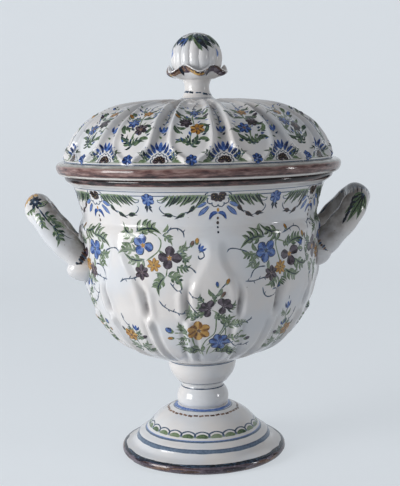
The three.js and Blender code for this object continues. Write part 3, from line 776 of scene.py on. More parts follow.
def pansy_bouquet(patch):
    """The field bouquet with a blue five-petalled flower and a dark pansy."""
    stems(patch, [(9, 9), (6, 2), (9, -8), (12, -16)], [(7, 4), (14, 2), (20, -3)])
    leaves(patch, (11, 11, 88, 19, 1), (-5, 7.5, 92, 21, -1), (-11, -3.5, 60, 8, 1),
           (-11.5, -5.5, 100, 13, 1), (-13.5, -6.5, 165, 12, 1), (8, -24, 145, 13, 1),
           (15.5, -3, -40, 11, 1), (19, -1.5, -60, 18, 1), (25.5, -12.5, -125, 17, -1),
           (16, -20, -128, 17, -1), (13, -26, -175, 9, 1), (-9, -12, 150, 8, 1), (6, 4, 30, 8, 1),
           (28, -6, -76, 8, 1), (0, -12, 164, 8, -1), (21, -24, -96, 8, -1), (-8, 10, 20, 8, 1))
    flower(placed(patch, -3, -4), "blue", (48, -38, -110, 172, 105), 8.4, 7.6, "line")
    flower(placed(patch, 21.5, -9), "purple", (-55, 88, -166), 8.6, 7.6)
    star(placed(patch, 11.5, -18.5), "ochre", 8, 5.6, 3.2)
    star(placed(patch, 2.5, -22.5), "purple", 6, 6, 4.2)
    hairs(patch, (0, (-36.5, -3.5), (-34, -0.5), (-28, -1), (-19, -4)),
          (0, (-16.5, -25), (-14, -19), (-9, -16.5), (-3, -16.5)),
          (4, (-21, -27), (-14, -27.5), (-7, -26), (-1, -25)),
          (4, (12, 9), (18, 11), (26, 13.5), (32, 12), (34, 8)))
    buds(patch, (17, 12, 10, "ochre", 4.6), (11.5, -30.5, 180, "blue", 6, 4.6))
    hairs(patch, (2, (-5, -33), (-3, -39), (1.5, -42), (8, -38.5), (7.5, -35), (4, -36)))


def panel_bouquet(patch):
    """The bouquet that stands on a panel, with an ochre and a blue flower at its foot."""
    stems(patch, [(-6, -38), (-8.5, -27), (-6, -16.5), (1, -8), (2, 4), (1, 12)],
          [(-5, -22), (4, -12), (9, -4), (10, 6)], [(-4, -36), (-3, -26), (3, -12), (8, -2), (8, 12)],
          [(-2, -34), (3, -27), (10, -8), (5, 8), (-2, 14)], [(-8, -36), (-14, -22), (-17, -10)])
    leaves(patch, (-6, 12, 60, 11, 1), (1, 26, 62, 8, 1), (1, 26, -58, 8, -1), (-14, 8, 84, 9, -1),
           (19, 0, -72, 9, 1), (18, -10, -60, 7, 1), (21, -14, -92, 7, -1), (17, -17, -112, 7, 1),
           (6, -30, -76, 15, 1), (-14, -26, 100, 11, 1), (-20, -22, 64, 9, -1), (-22, -4, 62, 9, 1),
           (-6, 9.5, 88, 11, -1), (0, 6, -75, 11, 1), (8.5, -1, -22, 12, 1), (-20, -10.5, 38, 11, -1),
           (-19, -11.5, 118, 10, 1), (-13, 6.5, 52, 13, 1), (-7, 20, 42, 9, 1), (1, 19, 8, 9, 1),
           (10, 14, -62, 10, -1), (8.5, -3.5, -66, 15, 1), (12.5, -15.5, -72, 11, 1),
           (2, -31, -88, 20, 1), (-17, -21, -150, 14, -1), (-6, -30, 75, 17, -1))
    flower(placed(patch, -11.5, -5.5), "ochre", (8, 66, 122, 178, -126, -58), 8.6, 7, "brown")
    flower(placed(patch, 5.5, -18), "blue", (20, 78, 140, -160, -100, -38), 8, 7, "blue")
    flower(placed(patch, -4, 15), "purple", (-20, 48, 95, 160), 6.6, 6, "purple")
    flower(placed(patch, 7.5, 17), "purple", (20, -42, -100, 170), 6.6, 6, "purple")
    buds(patch, (-33, -7, 60, "blue", 6.4, 5.2), (-32, -13.5, 92, "ochre", 4.6, 3.4),
         (5.5, 25, -32, "brown", 6, 3), (2.5, 34, 12, "blue", 4, 2.6), (9.5, 36, -30, "ochre", 4.4, 3),
         (27, -17, -60, "purple", 4.4, 3.6))
    stems(patch, [(-19, -10), (-26, -8), (-31, -8)])
    hairs(patch, (6, (-22, 10.5), (-33, 13), (-40, 17), (-44, 22)), (2, (-10, 23.5), (-16, 26), (-20, 29.5)),
          (0, (1.5, 26), (5, 32), (10, 37)), (5, (17, -1), (24, 0), (32, 4)),
          (4, (14, -18), (20, -24), (26, -24), (31, -21)), (0, (-22, 22), (-17, 16), (-12, 10)))


def tulip_sprig(patch):
    """A blue tulip on a short leafy stem."""
    stems(patch, [(1, -13), (2, -6), (-0.5, 0)])
    tulip(patch, "blue", 1.25)
    leaves(patch, (1, -9, 65, 8, 1), (2, -6, -55, 9, -1), (1, -12, -140, 8, 1), (1, -12, 150, 7, -1))
    hairs(patch, (0, (-0.5, 9), (-0.5, 13)))


def small_bouquet(patch, tall):
    """The small bouquet low on a panel, which carries a sprig of tulip where it is tall."""
    stems(patch, [(0, -20), (-1, -10), (1, 2), (0, 10)])
    leaves(patch, (0, -16, 70, 15, 1), (0, -16, -70, 15, -1), (-1, -8, 60, 11, -1), (1, -6, -55, 11, 1),
           (0, 4, 38, 9, 1), (1, 2, -80, 10, -1), (-2, -20, 100, 13, 1), (2, -20, -100, 13, -1))
    flower(placed(patch, -5, 0), "ochre", (30, 90, 150, -150, -90, -30), 6.8, 5.6, "brown")
    tulip(placed(patch, 4, 7, -20), "blue", 1.1)
    buds(patch, (-11, 5, 40, "purple", 5, 3.6), (9, -2, -60, "purple", 5, 3.8))
    hairs(patch, (4, (-2, 10), (-7, 17), (-8, 25)))
    if tall:
        tulip_sprig(placed(patch, 6, 26, -14))


# Where the bouquets stand: lengths up the wall in millimetres and turns round it in degrees.
PANEL_TURN = 360 / PANELS
FIELD_LENGTH = 145.5
ROUND_FLOWER_TURN = -25.5
PANSY_TURN = 26
LARGE_LENGTH = 82
SMALL_LENGTH = 68
SMALL_SIZE = 0.86
SPRIGS = (-75, 105, 165, 255)
SPRIG_LENGTH = 108
SPRIG_SIZE = 0.9
for k in range(PANELS):
    side = 1 if k % 4 in (0, 3) else -1
    if k % 2:
        field = wall.patch(ROUND_FLOWER_TURN + PANEL_TURN * (k + 1), FIELD_LENGTH)
        round_flower_bouquet(placed(field, 0, 0, mirror=side))
        panel = wall.patch(PANEL_TURN * k, SMALL_LENGTH)
        small_bouquet(placed(panel, 0, 0, size=SMALL_SIZE, mirror=side), tall=side < 0)
    else:
        pansy_bouquet(placed(wall.patch(PANSY_TURN + PANEL_TURN * k, FIELD_LENGTH), 0, 0, mirror=side))
        panel_bouquet(placed(wall.patch(PANEL_TURN * k, LARGE_LENGTH), 0, 0, mirror=side))
for angle in SPRIGS:
    tulip_sprig(placed(wall.patch(angle, SPRIG_LENGTH), 0, 0, hand.normal(0, 8), SPRIG_SIZE))
paint("bowl_painting", "vase")

# Collar painting: under two banded lines hangs a fringe of feathered green leaves, with dark half flowers,
# round blue ones between them, and swags of thin scrolls. The fringe starts a little aside of each flower.
PENDANTS = [2, 55, 117, 180, 241, 302]
PENDANT_GAP = 5
FRINGE_TOP = 187.6
FRINGE_START = 8
FINGER_SPACING = 2.9
SCROLL = ((0.36, -7), (0.45, -12.4), (0.5, -13), (0.63, -16.4), (0.68, -15.4), (0.83, -13.6), (0.9, -9.5),
          (0.87, -7.5))
for height, width, dose in ((237.2, 1.1, 0.5), (234.2, 1.2, 0.62)):
    ring(wall, "line", height, width, dose, sway=0.15)


def fringe_leaf(patch, reach):
    """One long leaf that lies along the line, with its fingers hanging outwards."""
    last = reach - FRINGE_START
    dab(patch, "green", [(FRINGE_START, 0.6), (0.5 * reach, 0), (last, 0)], 3, "leaf", 0.5)
    for k in range(int((last - FRINGE_START) / FINGER_SPACING)):
        x = FRINGE_START + FINGER_SPACING * k
        drop = 5.4 + 4 * abs(math.sin(k * 0.9 + 0.5)) + hand.normal(0, 0.6)
        dab(patch, "green", [(x, 1.8), (x + 2, -0.25 * drop), (x + 7, -drop)], 2.7, "leaf",
            hand.uniform(0.4, 1), 1 + k % 2)
        dab(patch, "line" if k % 3 else "green",
            [(x + 1.5, 0.6), (x + 3.6, -0.4 * drop), (x + 7.4, -0.95 * drop)], 1.7, "comma", 1, 3)
    dab(patch, "line", [(last - 4, -1), (last, -5), (last + 4, -4.5), (last + 4.5, -2)], 0.9, "line", 0.6)
    dab(patch, "green", [(last - 4, 1), (last + 1, -2.5), (last + 5.5, -3)], 2.2, "comma", 0.6)


def swag(patch, reach, pigment):
    """A thin scroll that hangs between the flowers, with a bud and two leaves on it."""
    scroll = [(share * reach, y) for share, y in SCROLL]
    dab(patch, "line", scroll, 1, "line", 0.8)
    for start, end in zip(scroll[:5:2], scroll[1:6:2]):
        middle = (0.5 * (start[0] + end[0]) - 0.6, 0.5 * (start[1] + end[1]) - 0.6)
        dab(patch, pigment, [start, middle, end], 4, "leaf", hand.uniform(0.85, 1), 2)
        dab(patch, "line", [start, middle, (end[0] + 1.6, end[1] - 1.8)], 2, "leaf", 0.95, 3)


def pendant(patch):
    """The half flower, with two long petals on each side, and a bow and a row of dots under it."""
    half_flower(placed(patch, 0, 1.4, 180), 1.05)
    for side in (-1, 1):
        for turn, length in ((112, 9), (133, 11)):
            petal = placed(patch, 0, -1.5, side * turn)
            dab(petal, "blue", [(0, 9.6), (0, 9.6 + 0.5 * length), (0, 9.6 + length)], 4.4, "petal", 0.5)
            for edge in (-1.7, 0, 1.7):
                outline = [(0.3 * edge, 9.6), (edge, 9.6 + 0.6 * length), (0, 10 + length)]
                dab(petal, "line" if edge else "blue", outline, 1.2, "comma", 0.95, 2)
        dab(patch, "blue", [(0, -13), (side * 4, -14), (side * 7, -19)], 3.6, "leaf", 0.9)
        dab(patch, "line", [(0, -13.6), (side * 3.6, -15.4), (side * 6.4, -19.4)], 1.2, "comma", 0.95, 2)
    dab(patch, "ochre", [(0, -9.4), (0, -12.8)], 2.6, "petal", 0.6)
    for y, width in ((-16.5, 2.4), (-20, 2.9), (-24, 2), (-28, 2.2)):
        dab(patch, "brown" if width > 2.3 else "line", [(0, y), (0, y - width)], width, "petal", 0.9)


for k, angle in enumerate(PENDANTS):
    after = (PENDANTS[(k + 1) % len(PENDANTS)] - angle) % 360
    before = (angle - PENDANTS[k - 1]) % 360
    here = wall.patch(angle, FRINGE_TOP)
    pendant(here)
    for mirror, span in ((1, after), (-1, before)):
        reach = math.radians(span / 2) * wall.radius(FRINGE_TOP) - PENDANT_GAP
        half = placed(here, 0, 0, mirror=mirror)
        fringe_leaf(half, reach)
        swag(half, reach, "brown" if (k + (mirror > 0)) % 2 else "green")
    between = wall.patch(angle + after / 2, FRINGE_TOP)
    flower(placed(between, 0, -2.5, size=0.8), "blue", range(0, 360, 60), 5.8, 6, "blue")
    for turn, length in ((140, 5), (165, 7), (205, 7), (228, 4)):
        dab(placed(between, 0, -6.5, turn), "line", [(0, 1), (0.5, 0.5 * length), (0, length)], 2.1, "leaf",
            0.85)
paint("collar_painting", "vase")

# Lip: the turned-out edge of the mouth, thrown in one with a flat top on which the lid rests.
# Its outer side is washed with manganese brown. The wash gives the dose at each height in millimetres.
LIP_FOOT = 240.4
LIP_TOP = 246.7
LIP_OUTLINE = [(99, LIP_FOOT), (111.6, LIP_FOOT), (114, 242.6), (115, 244.6), (114.9, 246), (113.8, 246.6),
               (112, LIP_TOP), (101, LIP_TOP), (99.4, 246.2), (99, 244.8)]
LIP_WASH = [(LIP_FOOT, 0), (241.7, 0.05), (242.4, 0.85), (244, 1.05), (LIP_TOP, 1)]
EDGE_FINENESS = 0.5
EDGE_STEPS = 320

# Manganese edge: the same tin glaze with a wash of manganese brushed round it. It is purple-brown where it is
# thick, pinkish where the brush ran dry, and olive grey where it is thinnest. The brush's streaks are 13 mm
# long and 2.2 mm apart.
STREAK_LENGTH = 13
STREAK_SPACING = 2.2
WASH_COLOURS = ((0.12, "#dcd8d4"), (0.3, "#8d8b83"), (0.5, "#9b807a"), (0.7, "#6c4e4a"), (0.86, "#413032"),
                (1, "#1b1417"))
manganese_edge = new_material("manganese_edge")
edge_place = add(manganese_edge, "ShaderNodeTexCoord").outputs["Object"]
streak_scale = (1 / (STREAK_LENGTH * MM), 1 / (STREAK_LENGTH * MM), 1 / (STREAK_SPACING * MM))
edge_along = add(manganese_edge, "ShaderNodeMapping", {"Scale": streak_scale}, Vector=edge_place)
edge_streak = add(manganese_edge, "ShaderNodeTexNoise", {"Scale": 1.0, "Detail": 5.0, "Roughness": 0.65},
                  Vector=edge_along.outputs["Vector"])
edge_dose = add(manganese_edge, "ShaderNodeAttribute", {"attribute_name": "dose"})
edge_uneven = add(manganese_edge, "ShaderNodeMapRange",
                  {"From Min": 0.3, "From Max": 0.7, "To Min": 0.6, "To Max": 1.25},
                  Value=edge_streak.outputs["Fac"])
edge_load = add(manganese_edge, "ShaderNodeMath", {"operation": "MULTIPLY"},
                at0=edge_dose.outputs["Fac"], at1=edge_uneven.outputs["Result"])
edge_colour = add(manganese_edge, "ShaderNodeValToRGB", {"stops": WASH_COLOURS},
                  Fac=edge_load.outputs["Value"])
glaze_surface(manganese_edge, edge_colour.outputs["Color"])


def washed_edge(name, outline, body, node, wash):
    """A turned edge with its wash, whose thickness is given by (height, dose) pairs."""
    piece = turned(name, outline, EDGE_STEPS, body, manganese_edge, [node])
    heights, doses = zip(*wash)
    mark(piece, "dose", np.repeat(np.interp(np.array(outline)[:, 1], heights, doses), EDGE_STEPS))


lip_line = spline(LIP_OUTLINE[1:8], EDGE_FINENESS).tolist() + LIP_OUTLINE[8:] + LIP_OUTLINE[:1]
washed_edge("lip_clay", lip_line, "vase", "lip", LIP_WASH)

# Handles: a hand-rolled loop of clay on each side, its two legs pressed side by side on the bowl.
# The rolls are uneven, and the right one sits a little higher. Ragged brown lines mark the joints, as dirt
# and painted shadow.
# Root, bend and end are the (reach, height) that the roll's middle line runs by, in millimetres.
ROLL_ACROSS = 11
ROLL_ASIDE = 9.8
ROLL_ROWS = 170
ROLL_STEPS = 64
ROLL_PLACES = 241
LEG_SPACING = 42
LEG_SHARE = 0.56
LEG_RISE = 0.6
HANDLES = {
    "left": {"side": -1, "root": (95, 170), "bend": (121.5, 193), "end": (139.2, 221.6),
             "pad": (101, 20.5, 169.4), "grey": 0.5, "ragged": 1},
    "right": {"side": 1, "root": (95, 176), "bend": (121.5, 197), "end": (139.2, 223.6),
              "pad": (97.6, 20.5, 176), "grey": 0.75, "ragged": 0.5},
}
PAD_RADII = (14, 11.4, 11)
PAD_ROWS = 40
PAD_STEPS = 64
BURIED = 3.6
SPECKS = 12

# Painted-shade glaze: the same tin glaze on the handles, with painted shade in it. It is white on the outer
# face, greyer on the sides and brownish inside, where the rolls turn away from the lamps.
PAINTED_SHADE_GREY = "#8e8883"
shaded_glaze = new_material("shaded_glaze")
glaze_surface(shaded_glaze, tin_glaze_colour(shaded_glaze, PAINTED_SHADE_GREY))


def handle_roll(side, root, bend, end):
    """A handle's side, its middle line and the directions across that, front leg first, and its length."""
    root, bend, end = (np.array(place, float) for place in (root, bend, end))
    legs = 0.5 - 0.5 * np.cos(np.linspace(0, math.pi, ROLL_PLACES))
    half = np.where(legs < 0.5, legs, 1 - legs) * 2
    turn = np.clip((half - LEG_SHARE) / (1 - LEG_SHARE), 0, 1) * math.pi / 2
    rise = LEG_RISE + (1 - LEG_RISE) * np.sin(turn)
    t = np.where(half < LEG_SHARE, LEG_RISE * half / LEG_SHARE, rise)[:, None]
    plane = (1 - t) ** 2 * root + 2 * t * (1 - t) * bend + t ** 2 * end
    slope = 2 * (1 - t) * (bend - root) + 2 * t * (end - bend)
    slope /= np.linalg.norm(slope, axis=1)[:, None]
    aside = -LEG_SPACING / 2 * np.cos(turn) * np.where(legs < 0.5, 1, -1)
    middle = np.stack([side * plane[:, 0], aside, plane[:, 1]], axis=1)
    face = np.stack([side * slope[:, 1], 0 * aside, -slope[:, 0]], axis=1)
    run = np.gradient(middle, axis=0)
    width = np.cross(run, face)
    return side, middle, face, width / np.linalg.norm(width, axis=1)[:, None], run_lengths(middle)


def roll_at(roll, length, round_angle, lift=0.0):
    """A place on a handle's skin, by the length along the roll and the angle round it from the outer face."""
    side, *lines, lengths = roll
    middle, face, width = (np.stack([np.interp(length, lengths, line[:, k]) for k in range(3)], axis=-1)
                           for line in lines)
    share = length / lengths[-1]
    uneven = (1 + 0.035 * np.sin(7 * share + 2 * round_angle + side)
              + 0.03 * np.sin(15 * share - round_angle)
              + 0.025 * np.sin(31 * share + 3 * round_angle)
              + 0.02 * np.sin(53 * share - 2 * round_angle + side))
    out = np.array((ROLL_ACROSS * uneven + lift) * np.cos(round_angle))
    aside = np.array((ROLL_ASIDE * uneven + lift) * np.sin(round_angle))
    return middle + face * out[..., None] + width * aside[..., None]


def luted(points):
    """Clay pressed on the bowl: what would lie in its hollow is moved out to just under the wall's face."""
    x, y, z = points.T
    radius = np.hypot(x, y)
    push = np.maximum(1, (np.interp(z, wall.line[:, 1], wall.line[:, 0]) - BURIED) / radius)
    return np.stack([x * push, y * push, z], axis=1)


def pad_piece(name, centre, node):
    """A lump of clay pressed under a leg's root."""
    up = np.linspace(0.02, math.pi - 0.02, PAD_ROWS)[:, None]
    around = np.linspace(0, 2 * math.pi, PAD_STEPS, endpoint=False)[None, :]
    lump = 1 + 0.03 * np.sin(3 * around + 2 * up) + 0.02 * np.cos(5 * up + around)
    points = np.stack([centre[0] + PAD_RADII[0] * lump * np.sin(up) * np.cos(around),
                       centre[1] + PAD_RADII[1] * lump * np.sin(up) * np.sin(around),
                       centre[2] + PAD_RADII[2] * lump * np.cos(up) + 0 * around], axis=2)
    vertices = luted(points.reshape(-1, 3))
    return new_piece(name, vertices, outward(vertices, grid_faces(PAD_ROWS, PAD_STEPS, False)),
                     "vase", tin_glaze, [node])


# Handle painting: strokes of ochre, blue-black and green down the outer side of each leg.
# A stroke is given across the roll, positive towards the bowl, and up it from the leg's root.
LEFT_LEAF_SIZE = 1.5


def inward_dab(patch, inwards, pigment, points, *look):
    """A stroke on a handle's leg."""
    dab(patch, pigment, [(inwards * x, y) for x, y in points], *look)


def left_leg_painting(patch, inwards):
    """An ochre top, a dark flower and a stem with six leaves."""
    for k in range(5):
        inward_dab(patch, inwards, "ochre", [(3.6 * k - 9, 86), (3 * k - 8, 75)], 4.4, "comma", 0.62)
        inward_dab(patch, inwards, "brown", [(3.6 * k - 8, 86), (3 * k - 7, 76)], 1, "comma", 0.9, 2)
    for turn in (-80, -40, 0, 40, 80, 130, 180, 230):
        dab(placed(patch, inwards * 2, 68, turn), "line", [(0, 0.6), (0.4, 6.4)], 3.6, "petal", 0.95)
    for x, y, turn, length, curl in ((0, 64, 100, 11, 1), (2, 64, -95, 12, -1), (1, 59, 150, 13, -1),
                                     (3, 56, -150, 13, 1), (3, 47, 172, 16, 1), (5, 49, -130, 11, 1)):
        leaf(placed(patch, inwards * x, y, turn, LEFT_LEAF_SIZE), length / LEFT_LEAF_SIZE, curl, dose=0.62)
    inward_dab(patch, inwards, "line", [(2, 62), (3, 48), (6, 34), (10, 27)], 1.8, "comma", 0.9)


def right_leg_painting(patch, inwards):
    """Dark strokes over the loop's top and one broad leaf of five fingers, dark at its side."""
    for k in range(6):
        inward_dab(patch, inwards, "line", [(3.4 * k - 9, 87), (3 * k - 8, 78), (2.4 * k - 6, 69)],
                   4, "leaf", 1)
    for turn, length in ((180, 24), (162, 21), (198, 19), (136, 12), (224, 12)):
        finger = placed(patch, 0, 62, turn)
        for pigment, width, shape, dose, layer in (("green", 5.6, "leaf", 0.75, 1),
                                                   ("line", 1.6, "comma", 1, 2)):
            dab(finger, pigment, [(0, 0), (1, 0.5 * length), (0, length)], width, shape, dose, layer)
    for k in range(5):
        inward_dab(patch, inwards, "line", [(3, 58 - 4 * k), (7.4 - k, 56 - 4 * k), (6 - k, 51 - 4 * k)],
                   2.6, "leaf", 1, 3)
    for k in range(5):
        inward_dab(patch, inwards, ("line", "purple")[k % 2],
                   [(4 * k, 86), (3 + 4 * k, 74), (2 + 3.4 * k, 60)], 3 + 0.4 * k, "leaf", 1, 2)


for name, kind in HANDLES.items():
    side, (pad_out, pad_aside, pad_height) = kind["side"], kind["pad"]
    roll = handle_roll(side, kind["root"], kind["bend"], kind["end"])
    run = roll[-1][-1]
    round_steps = np.linspace(-math.pi, math.pi, ROLL_STEPS, endpoint=False)
    length, round_angle = np.meshgrid([0, *np.linspace(0, run, ROLL_ROWS), run], round_steps, indexing="ij")
    close_ends = np.where(np.arange(ROLL_ROWS + 2) % (ROLL_ROWS + 1), 0, 0.2 - ROLL_ASIDE)[:, None]
    vertices = luted(roll_at(roll, length, round_angle, close_ends).reshape(-1, 3))
    faces = outward(vertices, grid_faces(ROLL_ROWS + 2, ROLL_STEPS, False))
    clay = new_piece(f"handle_{name}_clay", vertices, faces, "vase", shaded_glaze,
                     [f"handle_{name}"])
    around = np.abs(round_angle)
    # Painted shade: the rolls are greyed on their sides and most of all inside, by each handle's share of
    # grey.
    grey = kind["grey"]
    mark(clay, "pool", grey * smooth(around, 0.7, 1.9) + (1 - grey) * smooth(around, 1.9, 2.8))
    for end, front in (("front", -1), ("rear", 1)):
        pad_piece(f"handle_{name}_{end}_pad_clay", (side * pad_out, front * pad_aside, pad_height),
                  f"handle_{name}_{end}_pad")
    outer_edge = -side * math.pi / 2
    legs = (lambda x, y, lift=0.0: roll_at(roll, y, outer_edge + x / ROLL_ACROSS, lift),
            lambda x, y, lift=0.0: roll_at(roll, run - y, outer_edge + x / ROLL_ACROSS, lift))
    ragged = kind["ragged"]
    for patch in legs:
        (left_leg_painting if side < 0 else right_leg_painting)(patch, -side)

        # The ragged band over the joint and the dark line up the inner side, dirt with painted shadow, and
        # specks.
        for x in range(-6, 34, 2):
            edge = 9 + (4.5 + hand.normal(0, 1.2) + 0.12 * x) * ragged
            dab(patch, ("line", "brown")[x % 4 // 2], [(-side * x, 8), (-side * x, edge)], 1.8 + 1.6 * ragged,
                "petal", hand.uniform(0.6, 1) * (0.4 + 0.7 * ragged), 1 + x % 4 // 2)
        for y in range(12, 74, 4):
            inner_line = [(-side * 19 + hand.normal(0, 1), place) for place in (y, y + 9)]
            dab(patch, ("line", "brown")[y % 8 // 4], inner_line, hand.uniform(1.4, 4.4), "leaf",
                hand.uniform(0.45, 0.95))
        for k in range(SPECKS):
            speck = placed(patch, hand.uniform(-14, 16), hand.uniform(18, 70), hand.uniform(0, 180))
            dab(speck, "brown", [(0, 0), (0.6, 0)], hand.uniform(0.5, 1.1), "petal", 0.8)
    paint(f"handle_{name}_painting", "vase")

# Lid: a thrown rim with a locating flange below, and a dome pressed in a mould. Fourteen tongues widen
# down the dome and end in a bracket-shaped point, each with a rolled border. A tongue's end is given by the
# height and its half width there in degrees.
TONGUES = 14
LID_TURN = -8.5
TONGUE_RISE = 2.1
VALLEY_DEPTH = 2.2
ROLL_OFFSET = 4.2
ROLL_WIDTH = 2.8
FADE_HEIGHTS = (258.4, 262)
FADE_RADII = (18, 40)
# How strongly the valleys are greyed by pooling and painted shade, and from which heights.
POOL_AND_SHADE_STRENGTH = 0.6
POOL_AND_SHADE_HEIGHTS = (266, 286)
RIM_FOOT = 247
RIM_TOP = 257.9
DOME_TOP = 308.2
RIM_OUTLINE = [(98, RIM_TOP), (92, RIM_FOOT), (118.6, RIM_FOOT), (119.9, 248), (121.4, 250.6), (122, 253.4),
               (121.4, 255.6), (119.8, 257.2), (117.6, RIM_TOP), (114, RIM_TOP)]
RIM_WASH = [(RIM_FOOT, 0.4), (247.6, 0.1), (248.5, 0.06), (249.3, 0.9), (251, 0.7), (254.8, 0.74),
            (256.4, 0.3), (RIM_TOP, 0.22)]
FLANGE_OUTLINE = [(92, 246.8), (92.4, 238.6), (93.4, 238), (96, 238), (97, 239.4), (97, 246.8)]
FLANGE_STEPS = 240
DOME_OUTLINE = [(114.8, 258), (113, 264), (109.8, 271), (104.2, 280.4), (92.8, 291.6), (66, 303.6),
                (18, DOME_TOP)]
DOME_INSIDE = [(3, 301.2), (62, 297), (96, 279), (106, 262), (107, 258)]
DOME_FINENESS = 0.8
DOME_STEPS = 640
TONGUE_END = [(256, 0.6), (260, 1.8), (263.5, 3.2), (265.6, 5), (268, 6.6), (271.4, 8), (275, 8.6),
              (281, 8.9), (289, 8.9), (299, 8.6), (DOME_TOP, 9)]


def dome_relief(angle, r, z):
    """How far the dome's face stands out from its pressed wall."""
    period = 2 * math.pi / TONGUES
    heights, widths = zip(*TONGUE_END)
    off_middle = np.abs((angle - math.radians(LID_TURN) + period / 2) % period - period / 2)
    inward = (np.radians(np.interp(z, heights, widths)) - off_middle) * r
    fade = smooth(z, *FADE_HEIGHTS) * smooth(r, *FADE_RADII)
    valley = 1 - smooth(inward, -ROLL_OFFSET, 0)
    return fade * (TONGUE_RISE * hump(inward, ROLL_WIDTH) - VALLEY_DEPTH * valley)


def valley_pool_and_shade(angle, r, z):
    """How far the valleys between the tongues are greyed, by the glaze's pooling and by painted shade."""
    share = np.clip(-dome_relief(angle, r, z) / VALLEY_DEPTH, 0, 1)
    return POOL_AND_SHADE_STRENGTH * share * smooth(z, *POOL_AND_SHADE_HEIGHTS)


rim_line = np.vstack([RIM_OUTLINE[:2], spline(RIM_OUTLINE[2:], EDGE_FINENESS)])
washed_edge("lid_rim_clay", rim_line, "lid", "lid_rim", RIM_WASH)
turned("lid_flange_clay", FLANGE_OUTLINE, FLANGE_STEPS, "lid", tin_glaze, ["lid_flange"])
dome = Skin(spline(DOME_OUTLINE, DOME_FINENESS), dome_relief)
shell("lid_dome_clay", dome, range(len(dome.line)), [(3, DOME_TOP), *spline(DOME_INSIDE, INSIDE_FINENESS)],
      DOME_STEPS, "lid", ["lid_dome"], valley_pool_and_shade)

# Lid painting: a small bouquet on each tongue, in three kinds, and a blue fan over a dark half flower
# at the foot of each valley. The bouquets' leaves are given by their root, turn and length.
BOUQUET_LEAVES = ((1, -6, 48, 11.5), (-1, -6, -46, 11.5), (-4, -1, 78, 8), (5, 0, -76, 8), (-8, 5, 50, 8),
                  (9, 5, -42, 8), (-4, 10, 92, 7), (5, 13, -88, 7), (0, 20, 70, 8), (1, 20, -64, 8),
                  (1, 25, 24, 7), (-7, 25, 62, 7), (7, 26, -54, 7), (0, 30, 66, 7), (2, 31, -66, 7))
BOUQUET_PIGMENTS = (("ochre", "purple", "blue"), ("blue", "purple", "ochre"), ("purple", "blue", "ochre"))
BOUQUET_TICKS = 60
TICK_PIGMENTS = ("green", "line", "blue")
BOUQUET_SIZE = 1.04
BOUQUET_LENGTH = 21.8
FAN = ((-64, 5.4), (-45, 7.4), (-27, 7.2), (27, 7.2), (45, 7.4), (64, 5.4))
FAN_FOOT = 8
VALLEY_TICKS = 12
SPANDREL_LENGTH = 3.6
TIP_FLOWER_LENGTH = 4.6


def tongue_bouquet(patch, kind):
    """Three flowers and two buds among leaves and short ticks."""
    patch = placed(patch, 0, 0, size=BOUQUET_SIZE)
    stems(patch, [(0, -6), (-1, 2), (1.5, 12), (0, 22), (1.5, 27)])
    for x, y, turn, length in BOUQUET_LEAVES:
        here = placed(patch, x, y, turn + hand.normal(0, 8))
        leaf(here, length, hand.choice((-1, 1)), 3, hand.uniform(0.7, 1.05))
    for k in range(BOUQUET_TICKS):
        x, y = hand.uniform(-12, 12), hand.uniform(-3, 40)
        tick = placed(patch, x, y, -7 * x + hand.normal(0, 14))
        dab(tick, TICK_PIGMENTS[k % 3], [(0, -1.8), (0.4, 1.8)], hand.uniform(1.2, 2.2), "leaf",
            hand.uniform(0.7, 1.1))
    main, second, top = BOUQUET_PIGMENTS[kind]
    flip = -1 if kind == 1 else 1
    flower(placed(patch, 4 * flip, 9, 10, 0.74), main, range(0, 360, 60), 6.2, 5, "brown", 0.72)
    flower(placed(patch, -4.5 * flip, 15.5, 0, 0.72), second, range(15, 375, 60), 6, 5, second, 0.78)
    flower(placed(patch, 1.5, 28.5, 0, 0.62), top, range(0, 360, 72), 5, 5, top, 0.75)
    buds(patch, (-9 * flip, 22, 50 * flip, "purple" if kind == 1 else "ochre"),
         (8.5 * flip, 22, -40 * flip, second))
    hairs(patch, (8, (1.5, 32), (0.5, 40), (2.5, 50), (1, 60)))


def spandrel(patch):
    """A half flower under a blue fan with a tulip in its middle, leaves beside it and a sprig above."""
    half_flower(patch, 0.88, 0.84)
    for turn, length in FAN:
        petal = placed(patch, 0, 0, turn)
        tip = FAN_FOOT + length
        dab(petal, "blue", [(0, FAN_FOOT), (0.4, FAN_FOOT + 0.5 * length), (0, tip)], 2.8, "petal",
            hand.uniform(0.75, 1.05))
        for edge in (-1.1, 1.1):
            outline = [(0.5 * edge, FAN_FOOT), (edge, FAN_FOOT + 0.6 * length), (0.2 * edge, tip + 0.4)]
            dab(petal, "line", outline, 1, "comma", 1, 2)
    tulip(placed(patch, 0, 9.4), size=1.35)
    for side in (-1, 1):
        leaf(placed(patch, side * 9.8, 0.4, -side * 30), 10, side, 4, 0.85)
        leaf(placed(patch, side * 10, 0, -side * 74), 7, side, 3, 0.7)
    tulip(placed(patch, 0, 26), size=1.1)
    for k in range(VALLEY_TICKS):
        sprig = placed(patch, 0, 19 + 3.6 * k, (-1) ** k * hand.uniform(35, 70), 1 - 0.04 * k)
        dab(sprig, TICK_PIGMENTS[k % 3], [(0, 0.8), (0.4, 2.4), (0, 4.4)], 2, "leaf", hand.uniform(0.6, 0.95))
    hairs(patch, (4, (0, 34), (0.6, 44), (-0.4, 56), (0, 66)))


for k in range(TONGUES):
    turn = LID_TURN + 360 * k / TONGUES
    tongue_bouquet(dome.patch(turn, BOUQUET_LENGTH), (k + k // 3) % 3)
    spandrel(dome.patch(turn + 180 / TONGUES, SPANDREL_LENGTH))
    petals(dome.patch(turn, TIP_FLOWER_LENGTH), "blue", range(0, 360, 60), 0.3, 4.2, 4.2, 0.75, "line")
ring(dome, "line", 258.4, 1.2, 0.7, sway=0.1)
ring(dome, "green", 260, 0.9, 0.6, sway=0.2)
paint("lid_painting", "lid")

